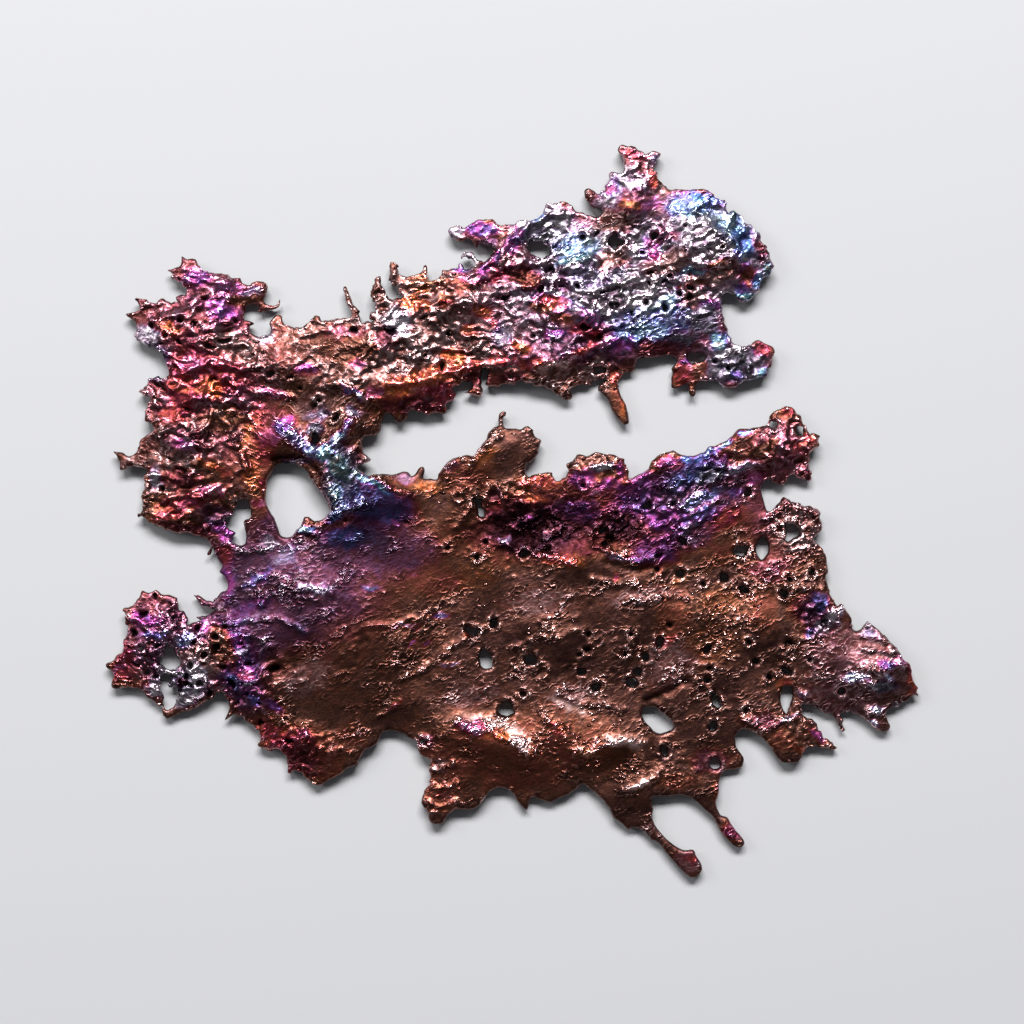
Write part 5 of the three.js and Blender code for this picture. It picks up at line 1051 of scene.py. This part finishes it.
def drawn_relief(x, y, crumple):
    """Heights of the creases, grooves and rings that have a place of their own, in mm."""
    wx, wy = drifted(x, y, (0.5, 2.4, 15, 16), (0.3, 1.1, 23, 24))
    broken = np.clip(0.55 + 0.9 * waves(x, y, 1.7, 25), 0, 1.2)
    height = np.zeros_like(x)
    for rise, half_width, line in CREASES:
        height += rise * bell(line_distance(wx, wy, line), 0, half_width)
    height *= (0.3 + 0.5 * crumple) + (0.5 - 0.2 * crumple) * broken
    for depth, half_width, line in GROOVES:
        height -= depth * bell(line_distance(wx, wy, line), 0, half_width)
    for cx, cy, radius, rise in RINGS:
        reach = np.hypot(wx - cx, wy - cy)
        height += rise * bell(reach, radius, RING_WALL)
        height -= rise * bell(reach, 0, 0.6 * radius)
    return height


def pit_share(x, y):
    """1 at the bottom of the dark pits, 0 outside them."""
    wx, wy = drifted(x, y, (0.55, 1.5, 28, 29))
    share = np.zeros_like(x)
    for oval in PITS:
        share = np.maximum(share, inside_oval(wx, wy, *oval))
    return share


def lean_of(x, y):
    """The direction of the wrinkles in radians."""
    return sum(math.radians(d) * w for d, w in zip(DIRECTIONS, wrinkle_weights(x, y)))


def tint_and_painted_light_fields(x, y, relief):
    """Place on the tint ramp, cover, tone and pale share of every point, from the heat stains and the
    painted shade and highlight patches.
    """
    wx, wy = drifted(x, y, (0.9, 3.1, 17, 19), (0.5, 1.2, 18, 20))
    fields = [np.full_like(x, value) for value in TINTS["bare"]]
    for stains in STAINS_AND_PAINTED_LIGHT.values():
        for tint, *oval in stains:
            share = PATCH_STRENGTH * inside_oval(wx, wy, *oval)
            fields = [old + share * (new - old) for old, new in zip(fields, TINTS[tint])]
    stage, cover, tone, pale = fields
    stage = stage + 0.05 * waves(x, y, 4.0, 21) + 0.04 * waves(x, y, 1.3, 22) + 0.05 * relief
    return stage, cover, tone, pale


def sheet_rims(settings, loops, over, under):
    """The solid's rims made ragged, with the pinholes, lifted towards the upper skin."""
    spacing = settings.rim_step / MM
    ragged = settings.ragged / MM
    loops = [rounded_loop(loop, spacing) for loop in loops]
    least = [1.0 if len(loop) < SMALL_HOLE / spacing else 0.5 for loop in loops]
    rims = Rims([ragged_loop(loop, ragged, share) for loop, share in zip(loops, least)])
    loops = list(rims.loops)
    for x, y, half_width, half_height, degrees in PINHOLES:
        gap, _ = rims.nearest([(x, y)])
        clear = gap[0] > max(half_width, half_height) + PINHOLE_MARGIN
        if clear and rims.holds(np.array([[x, y]]))[0]:
            middle = 0.5 * (over.at([(x, y)])[0] + under.at([(x, y)])[0])
            loop = pinhole_loop(middle, spacing, x, y, half_width, half_height, degrees)
            loops.append(ragged_loop(loop, 0.5 * ragged, 1.4))
    for loop in loops:
        lift = 0.3 + 0.45 * crumpled_share(loop[:, 0], loop[:, 1])
        loop[:, 2] += lift * (over.at(loop[:, :2]) - loop[:, 2])
    return Rims(loops)


class UpperSkin:
    """The heights of the upper skin's points, and what the finish and the nodules need there."""

    def __init__(self, settings, rims, over, points):
        x, y = points.T
        rim_count = len(rims.starts)
        gap, rim_height = rims.nearest(points)
        gap[:rim_count] = 0
        rim_height[:rim_count] = rims.starts[:, 2]
        crumple = crumpled_share(x, y)
        pits = pit_share(x, y)
        small_rim = SMALL_HOLE / (settings.rim_step / MM)
        small = Rims([loop for loop in rims.loops if len(loop) < small_rim])
        small_gap = small.nearest(points)[0]
        lips = bell(small_gap, 0.6, 0.35) + 4 * pits * (1 - pits)
        lips *= np.clip(0.7 + 0.9 * waves(x, y, 1.1, 35), 0, 1.3)

        foil, ripple = fine_relief(x, y)
        drawn = drawn_relief(x, y, crumple) + 0.5 * lips
        fine = crumple * settings.crumple / MM * foil
        fine = fine + (1 - 0.7 * crumple) * settings.grain / MM * ripple + drawn
        fine = fine - PIT_DEPTH * pits
        ceiling = CAD_BOX[1].z / MM - HEADROOM
        height = over.at(points) + fine * step(0, 0.9 - 0.4 * crumple, gap)
        height = ceiling - 0.35 * np.log1p(np.exp((ceiling - height) / 0.35))
        rise = rounded_rise(gap, settings.rounding / MM * (1 - 0.6 * crumple))
        self.height = rim_height + (height - rim_height) * rise
        self.relief = np.clip(0.5 + 0.06 * crumple + (1.25 - 0.35 * crumple) * fine, 0, 1)
        self.x, self.y, self.gap, self.small_gap = x, y, gap, small_gap
        self.crumple, self.pits, self.lips = crumple, pits, lips

    def nodules(self):
        """How thickly nodules lie: in their patches, and along the crumpled rims."""
        x, y, gap = self.x, self.y, self.gap
        found = np.zeros_like(x)
        for *oval, share in NODULES:
            found = np.maximum(found, share * inside_oval(x, y, *oval))
        patchy = 0.45 + 1.3 * waves(x, y, 4.5, 30) + 0.6 * step(0.8, 1.0, found)
        found *= np.clip(patchy, 0, 1) * (1 - self.pits)
        edging = bell(gap, 0.5, 0.4) * (0.15 + 0.85 * self.crumple) * (y > EDGE_NODULES_END)
        edging *= step(1.0, 1.6, self.small_gap)
        return np.clip(found * (gap > 0.6) + 0.8 * edging, 0, 1)


def lower_heights(settings, rims, over, under, points):
    """The heights of the lower skin's points."""
    x, y = points.T
    gap, rim_height = rims.nearest(points)
    rough = 0.22 * waves(x, y, 2.4, 81) + 0.1 * waves(x, y, 1.2, 82)
    base = under.at(points)
    rise = rounded_rise(gap, settings.rounding / MM)
    height = rim_height + (base + rough * step(0.25, 1.2, base) - rim_height) * rise
    height = np.maximum(height, 0.0)
    ceiling = over.at(points) - UNDER_CLEARANCE
    return np.where(gap > 1, np.minimum(height, np.maximum(ceiling, 0)), height)


def mark_rims(mesh, rims):
    """Sharp edges along every rim."""
    rim_edges = {key_of(a, b) for a, b in rims.edges}
    ends = np.empty(2 * len(mesh.edges), np.int32)
    mesh.edges.foreach_get("vertices", ends)
    sharp = [key_of(a, b) in rim_edges for a, b in ends.reshape(-1, 2).tolist()]
    mesh.attributes.new("sharp_edge", "BOOLEAN", "EDGE").data.foreach_set("value", sharp)


def skin_values(skin, places):
    """What the finish and the nodules read at each point, upper skin first."""
    x, y = places[:, 0], places[:, 1]
    top = len(skin.x)
    below = len(places) - top
    relief = np.concatenate([skin.relief, np.full(below, 0.5)])
    stage, cover, tone, pale = tint_and_painted_light_fields(x, y, relief - 0.5)
    # Painted shade: the pits are darkened towards their bottoms.
    tone = tone * (1 - PIT_DARKNESS * pit_share(x, y))
    # Painted highlight: hole lips and a band just inside every rim are brightened and whitened.
    edge = bell(skin.gap, 0.25, 0.3)
    tone[:top] += 0.2 * skin.lips + 0.25 * edge
    pale[:top] += 0.15 * skin.lips + 0.1 * edge
    return {
        "stage": stage, "cover": cover, "tone": tone, "pale": pale, "relief": relief,
        "crumple": crumpled_share(x, y),
        "upper": np.concatenate([np.ones(top), np.zeros(below)]),
        "nodules": np.concatenate([skin.nodules(), np.zeros(below)]),
        "lean": lean_of(x, y),
    }


def sheet_mesh(settings):
    """The fine skin as one closed mesh with its values."""
    loops, upper, lower = read_solid(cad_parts[NODE])
    over, under = Heights(upper), Heights(lower)
    rims = sheet_rims(settings, loops, over, under)
    rim_count = len(rims.starts)
    steps = settings.top_step / MM, settings.crumple_step / MM
    top_points, top_faces = net_of(rims, *steps, TOP_RINGS)
    under_step = settings.under_step / MM
    low_points, low_faces = net_of(rims, under_step, under_step, UNDER_RINGS)
    low_points = low_points[rim_count:]
    low_faces = np.where(low_faces < rim_count, low_faces, low_faces - rim_count + len(top_points))

    skin = UpperSkin(settings, rims, over, top_points)
    bottom = lower_heights(settings, rims, over, under, low_points)
    top_places = np.column_stack([top_points, skin.height])
    places = np.vstack([top_places, np.column_stack([low_points, bottom])])
    faces = np.vstack([top_faces, low_faces[:, ::-1]])
    mesh = bpy.data.meshes.new("splash_sheet")
    mesh.from_pydata((places * MM).tolist(), [], faces.tolist())
    mesh.validate()
    mesh.shade_smooth()
    mark_rims(mesh, rims)
    for name, value in skin_values(skin, places).items():
        attribute = mesh.attributes.new(name, "FLOAT", "POINT")
        attribute.data.foreach_set("value", value.astype(np.float32))
    return mesh


def copper_material(tints):
    """Heat-tinted copper with painted highlights on crests and painted shade in hollows, matt scale
    underneath.
    """
    material = bpy.data.materials.new("heat_tinted_copper_painted_light")
    material.use_nodes = True
    net = Net(material.node_tree)
    place = net.node("ShaderNodeTexCoord", {}, {}, 3)

    def noise(size, detail, vector=place):
        inputs = {"Vector": vector, "Scale": 1 / (size * MM), "Detail": detail}
        return net.node("ShaderNodeTexNoise", {"noise_type": "FBM"}, inputs)

    def along(degrees, stretch, vector):
        """The place, stretched along one direction."""
        turn = (0, 0, math.radians(degrees))
        inputs = {"Vector": vector, "Rotation": turn, "Scale": (stretch, 1.0, 1.0)}
        return net.node("ShaderNodeMapping", {"vector_type": "TEXTURE"}, inputs)

    def ridges(size, vector):
        """Sharp ridges with rounded hollows, from about 0 to 1."""
        inputs = {"Vector": vector, "Scale": 1 / (size * MM), "Detail": 3.0, "Offset": 1.0, "Gain": 1.0}
        raw = net.node("ShaderNodeTexNoise", {"noise_type": "RIDGED_MULTIFRACTAL"}, inputs)
        return ((raw - 0.4) * 0.85).clamped()

    def share(value, low, high, least, most):
        """A smooth step between two amounts."""
        inputs = {"Value": value, "From Min": low, "From Max": high, "To Min": least, "To Max": most}
        return net.node("ShaderNodeMapRange", {"interpolation_type": "SMOOTHSTEP"}, inputs)

    relief = net.attribute("relief")
    crumple = net.attribute("crumple")
    upper = net.attribute("upper")
    beady = net.attribute("nodules")
    speckle = noise(1.3, 3.0)
    fine = noise(0.4, 2.0)
    swirl = net.node("ShaderNodeTexNoise", {}, {"Vector": place, "Scale": 1 / (1.8 * MM), "Detail": 1.0}, 1)
    inputs = {0: swirl, 1: (1.5 * MM,) * 3, 2: place}
    warped = net.node("ShaderNodeVectorMath", {"operation": "MULTIPLY_ADD"}, inputs)
    fibre = noise(0.36, 2.0, vector=along(32, 2.0, warped))
    cells = net.node("ShaderNodeTexVoronoi", {"feature": "F1"}, {"Vector": warped, "Scale": 1 / (1.1 * MM)})
    rising = share(net.attribute("lean"), -0.3, 0.2, 0.0, 1.0)
    upward, downward = along(30, 1.9, warped), along(-24, 1.7, warped)
    strokes = ridges(0.9, upward) * rising + ridges(0.9, downward) * (1 - rising)
    foil = ridges(1.7, warped) * 0.76 + cells * 0.32
    grain = strokes + (foil - strokes) * (crumple * 0.85)

    calm = share(noise(3.6, 3.0, vector=along(20, 1.8, place)), 0.48, 0.70, 0.03, 0.8)
    busy = share(noise(5.0, 3.0), 0.40, 0.60, 0.4, 0.95)
    raised = 1.6 * (relief - 0.54).clamped() * (1 - crumple)
    presence = (calm + (busy - calm) * crumple + raised + beady * 0.3).clamped()
    reach = presence * (0.95 - 0.48 * crumple) + 0.1
    crest = (grain - 0.45) * reach + 0.40 + 0.18 * (fibre - 0.5) + 0.26 * (fine - 0.5)
    crest = crest.math("MAXIMUM", crest, 0.28 - 0.24 * crumple).clamped()

    stage = net.attribute("stage") + 0.24 * (speckle - 0.5) + 0.24 * (crest - 0.35)
    ramp = [
        (0.00, tints.bare), (0.09, tints.gold), (0.18, tints.orange), (0.28, tints.coral),
        (0.38, tints.crimson), (0.48, tints.pink), (0.56, tints.magenta), (0.67, tints.violet),
        (0.77, tints.blue), (0.87, tints.sky), (0.95, tints.cyan), (1.00, tints.pale),
    ]
    stops = [(at, linear(colour)) for at, colour in ramp]
    tint = net.node("ShaderNodeValToRGB", {"stops": stops}, {"Fac": stage})
    cover = (net.attribute("cover") + 0.35 * (speckle - 0.5)).clamped()
    metal = net.mix(cover, linear(tints.bare), tint)
    # Painted highlight: crests and raised skin are whitened towards the pale sheen.
    pale = (net.attribute("pale") + 1.2 * (crest - 0.54) + 0.25 * (relief - 0.5)).clamped()
    metal = net.mix(pale, metal, linear(tints.pale))
    # Painted shade and highlight: the colour is darkened in hollows and between crests, and brightened on
    # crests and on the nodules.
    depth = 0.05 + 0.3 * crumple + relief * (1.15 - 0.34 * crumple)
    shade = net.attribute("tone") * (1 + 0.45 * beady) * depth * (1.9 * crest ** 1.65)
    shade = (shade * (0.85 + 0.3 * speckle)).clamped()
    painted_light_grey = net.node("ShaderNodeCombineColor", {}, {0: shade, 1: shade, 2: shade})
    metal = net.mix(1.0, metal, painted_light_grey, "MULTIPLY")
    scale = net.mix(cover * 0.35, linear(tints.under), metal)
    colour = net.mix(upper, scale, metal)

    roughness = 0.72 - 0.1 * relief - 0.5 * crest - 0.14 * presence + 0.1 * (fine - 0.5)
    roughness = roughness + 0.2 * (1 - upper)
    height = grain * (presence * (0.52 - 0.24 * crumple) + 0.03) + fine * (presence * 0.12 + 0.03)
    height = height + 0.09 * fibre * (1 - crumple)
    bump = net.node("ShaderNodeBump", {}, {"Strength": 1.0, "Distance": 0.42 * MM, "Height": height})
    inputs = {"Base Color": colour, "Metallic": 1.0, "Roughness": roughness.clamped(), "Normal": bump}
    surface = net.node("ShaderNodeBsdfPrincipled", {}, inputs)
    net.node("ShaderNodeOutputMaterial", {}, {"Surface": surface})
    return material


MOST_NODULES = 2.4e6  # to a square metre, before the least gap thins them
NODULE_RELIEF = 0.95  # nodules are finished as raised metal: painted brighter and paler, as highlight, and glossier


def nodule_tree(material):
    """Geometry nodes that strew round and long beads over a skin, half sunk in it."""
    tree = bpy.data.node_groups.new("fused_nodules", "GeometryNodeTree")
    ports = tree.interface
    ports.new_socket("Geometry", in_out="INPUT", socket_type="NodeSocketGeometry")
    for name in ("Radius", "Gap"):
        ports.new_socket(name, in_out="INPUT", socket_type="NodeSocketFloat")
    ports.new_socket("Seed", in_out="INPUT", socket_type="NodeSocketInt")
    ports.new_socket("Geometry", in_out="OUTPUT", socket_type="NodeSocketGeometry")
    net = Net(tree)
    entry = net.node("NodeGroupInput", {}, {})
    skin, radius, gap, seed = (Wire(net, entry.socket.node.outputs[k]) for k in range(4))

    def named(name):
        return net.node("GeometryNodeInputNamedAttribute", {"data_type": "FLOAT"}, {"Name": name})

    def random(low, high, number):
        inputs = {2: low, 3: high, "Seed": seed + number}
        return net.node("FunctionNodeRandomValue", {"data_type": "FLOAT"}, inputs, 1)

    spread = {
        "Mesh": skin, "Distance Min": gap, "Density Max": MOST_NODULES,
        "Density Factor": named("nodules"), "Seed": seed,
    }
    dots = net.node("GeometryNodeDistributePointsOnFaces", {"distribute_method": "POISSON"}, spread)
    normal = Wire(net, dots.socket.node.outputs["Normal"])
    upright = net.node("FunctionNodeAlignRotationToVector", {"axis": "Z"}, {"Vector": normal})
    angle = named("lean") + random(-0.5, 0.5, 1)
    turn = {0: angle.math("COSINE", angle), 1: angle.math("SINE", angle)}
    heading = net.node("ShaderNodeCombineXYZ", {}, turn)
    flat = {"axis": "X", "pivot_axis": "Z"}
    lying = {"Rotation": upright, "Vector": heading}
    aligned = net.node("FunctionNodeAlignRotationToVector", flat, lying)
    width = random(0.45, 1.0, 2)
    size = net.node("ShaderNodeCombineXYZ", {}, {0: width * random(1.0, 2.4, 3), 1: width, 2: width * 0.75})
    bead = net.node("GeometryNodeMeshIcoSphere", {}, {"Radius": radius, "Subdivisions": 1})
    smooth = net.node("GeometryNodeSetShadeSmooth", {}, {"Geometry": bead})
    placing = {"Points": dots, "Instance": smooth, "Rotation": aligned, "Scale": size}
    beads = net.node("GeometryNodeInstanceOnPoints", {}, placing)
    solid = net.node("GeometryNodeRealizeInstances", {}, {"Geometry": beads})
    value = {"Geometry": solid, "Name": "relief", "Value": NODULE_RELIEF}
    raised = net.node("GeometryNodeStoreNamedAttribute", {}, value)
    dressed = net.node("GeometryNodeSetMaterial", {}, {"Geometry": raised, "Material": material})
    net.node("NodeGroupOutput", {}, {0: dressed})
    return tree


def add_piece(name, mesh):
    piece = bpy.data.objects.new(name, mesh)
    bpy.context.scene.collection.objects.link(piece)
    return piece


class SPLASH_OT_sheet(bpy.types.Operator):
    """Build the ragged, creased sheet and give it its heat-tinted copper, with painted shade and highlights
    """

    bl_idname = "splash.sheet"
    bl_label = "Sheet"

    def execute(self, context):
        sheet = add_piece("splash_sheet", sheet_mesh(context.scene.splash_skin))
        sheet.data.materials.append(copper_material(context.scene.splash_tint))
        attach(sheet, "root")
        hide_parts(NODE)
        return {"FINISHED"}


class SPLASH_OT_nodules(bpy.types.Operator):
    """Strew small fused nodules over the sheet"""

    bl_idname = "splash.nodules"
    bl_label = "Nodules"

    def execute(self, context):
        settings = context.scene.splash_skin
        sheet = bpy.data.objects["splash_sheet"]
        material = sheet.data.materials[0]
        source = add_piece("nodule_source", sheet.data)
        modifier = source.modifiers.new("nodules", "NODES")
        modifier.node_group = nodule_tree(material)
        ports = {item.name: item.identifier for item in modifier.node_group.interface.items_tree}
        modifier[ports["Radius"]] = settings.nodule_radius
        modifier[ports["Gap"]] = settings.nodule_gap
        modifier[ports["Seed"]] = settings.seed
        evaluated = source.evaluated_get(context.evaluated_depsgraph_get())
        mesh = bpy.data.meshes.new_from_object(evaluated)
        if not len(mesh.polygons):
            raise RuntimeError("no nodule was made")
        source.modifiers.remove(modifier)
        bpy.data.objects.remove(source)
        nodules = add_piece("splash_nodules", mesh)
        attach(nodules, "root")
        return {"FINISHED"}


FLOOR_SIDE = 6.0  # in metres
KEY_LIGHT = (0.0, 0.95, 1.18), 1.1, 0.36  # place, length and width in metres
SIDE_LIGHT = (-1.1, 0.5, 0.95), 0.6, 0.6
HALF_VIEW = 102.4  # mm, half the width that the camera takes in at the sheet's level
OFF_CENTRE = 0.05  # mm, from the middle of the sheet to the camera, towards -X and -Y


class SPLASH_OT_stage(bpy.types.Operator):
    """Set the pale floor, the soft lights and the camera straight above"""

    bl_idname = "splash.stage"
    bl_label = "Stage"

    def execute(self, context):
        settings = context.scene.splash_stage
        half = FLOOR_SIDE / 2
        floor_mesh = bpy.data.meshes.new("floor")
        corners = [(-half, -half, 0), (half, -half, 0), (half, half, 0), (-half, half, 0)]
        floor_mesh.from_pydata(corners, [], [(0, 1, 2, 3)])
        floor = add_piece("floor", floor_mesh)
        paper = bpy.data.materials.new("floor_paper")
        paper.use_nodes = True
        net = Net(paper.node_tree)
        inputs = {"Base Color": linear(settings.floor), "Roughness": 0.9}
        surface = net.node("ShaderNodeBsdfPrincipled", {}, inputs)
        net.node("ShaderNodeOutputMaterial", {}, {"Surface": surface})
        floor_mesh.materials.append(paper)

        world = bpy.data.worlds.new("soft_room")
        world.use_nodes = True
        net = Net(world.node_tree)
        inputs = {"Color": (0.9, 0.94, 1.0, 1.0), "Strength": settings.fill}
        glow = net.node("ShaderNodeBackground", {}, inputs)
        net.node("ShaderNodeOutputWorld", {}, {"Surface": glow})
        context.scene.world = world

        self.add_light("key", *KEY_LIGHT, settings.key_power)
        self.add_light("side", *SIDE_LIGHT, settings.side_power)

        low, high = CAD_BOX
        middle = (low + high) / 2
        camera = bpy.data.cameras.new("above")
        camera.lens = settings.lens
        distance = HALF_VIEW * MM / (camera.sensor_width / 2 / camera.lens)
        viewer = bpy.data.objects.new("above", camera)
        aside = OFF_CENTRE * MM
        viewer.location = (middle.x - aside, middle.y - aside, middle.z + distance)
        context.scene.collection.objects.link(viewer)
        context.scene.camera = viewer
        context.scene.view_settings.view_transform = "Standard"
        return {"FINISHED"}

    def add_light(self, name, place, length, width, power):
        light = bpy.data.lights.new(name, "AREA")
        light.shape = "RECTANGLE"
        light.size = length
        light.size_y = width
        light.energy = power
        lamp = bpy.data.objects.new(name, light)
        lamp.location = place
        lamp.rotation_euler = (-Vector(place)).to_track_quat("-Z", "Y").to_euler()
        bpy.context.scene.collection.objects.link(lamp)


class SPLASH_PT_panel(bpy.types.Panel):
    """Lists the settings and the steps that build the splash"""

    bl_idname = "SPLASH_PT_panel"
    bl_label = "Copper splash"
    bl_space_type = "VIEW_3D"
    bl_region_type = "UI"
    bl_category = "Splash"

    def draw(self, context):
        for group in (context.scene.splash_skin, context.scene.splash_tint, context.scene.splash_stage):
            box = self.layout.box()
            for name in group.bl_rna.properties.keys():
                if name not in ("rna_type", "name"):
                    box.prop(group, name)
        for operator in (SPLASH_OT_sheet, SPLASH_OT_nodules, SPLASH_OT_stage):
            self.layout.operator(operator.bl_idname)


CLASSES = (
    SplashSkinSettings, SplashTintSettings, SplashStageSettings,
    SPLASH_OT_sheet, SPLASH_OT_nodules, SPLASH_OT_stage, SPLASH_PT_panel,
)


def register():
    for cls in CLASSES:
        bpy.utils.register_class(cls)
    bpy.types.Scene.splash_skin = PointerProperty(type=SplashSkinSettings)
    bpy.types.Scene.splash_tint = PointerProperty(type=SplashTintSettings)
    bpy.types.Scene.splash_stage = PointerProperty(type=SplashStageSettings)


def unregister():
    del bpy.types.Scene.splash_stage
    del bpy.types.Scene.splash_tint
    del bpy.types.Scene.splash_skin
    for cls in reversed(CLASSES):
        bpy.utils.unregister_class(cls)


def main():
    register()
    bpy.ops.splash.sheet()
    bpy.ops.splash.nodules()
    bpy.ops.splash.stage()


if __name__ == "__main__":
    main()
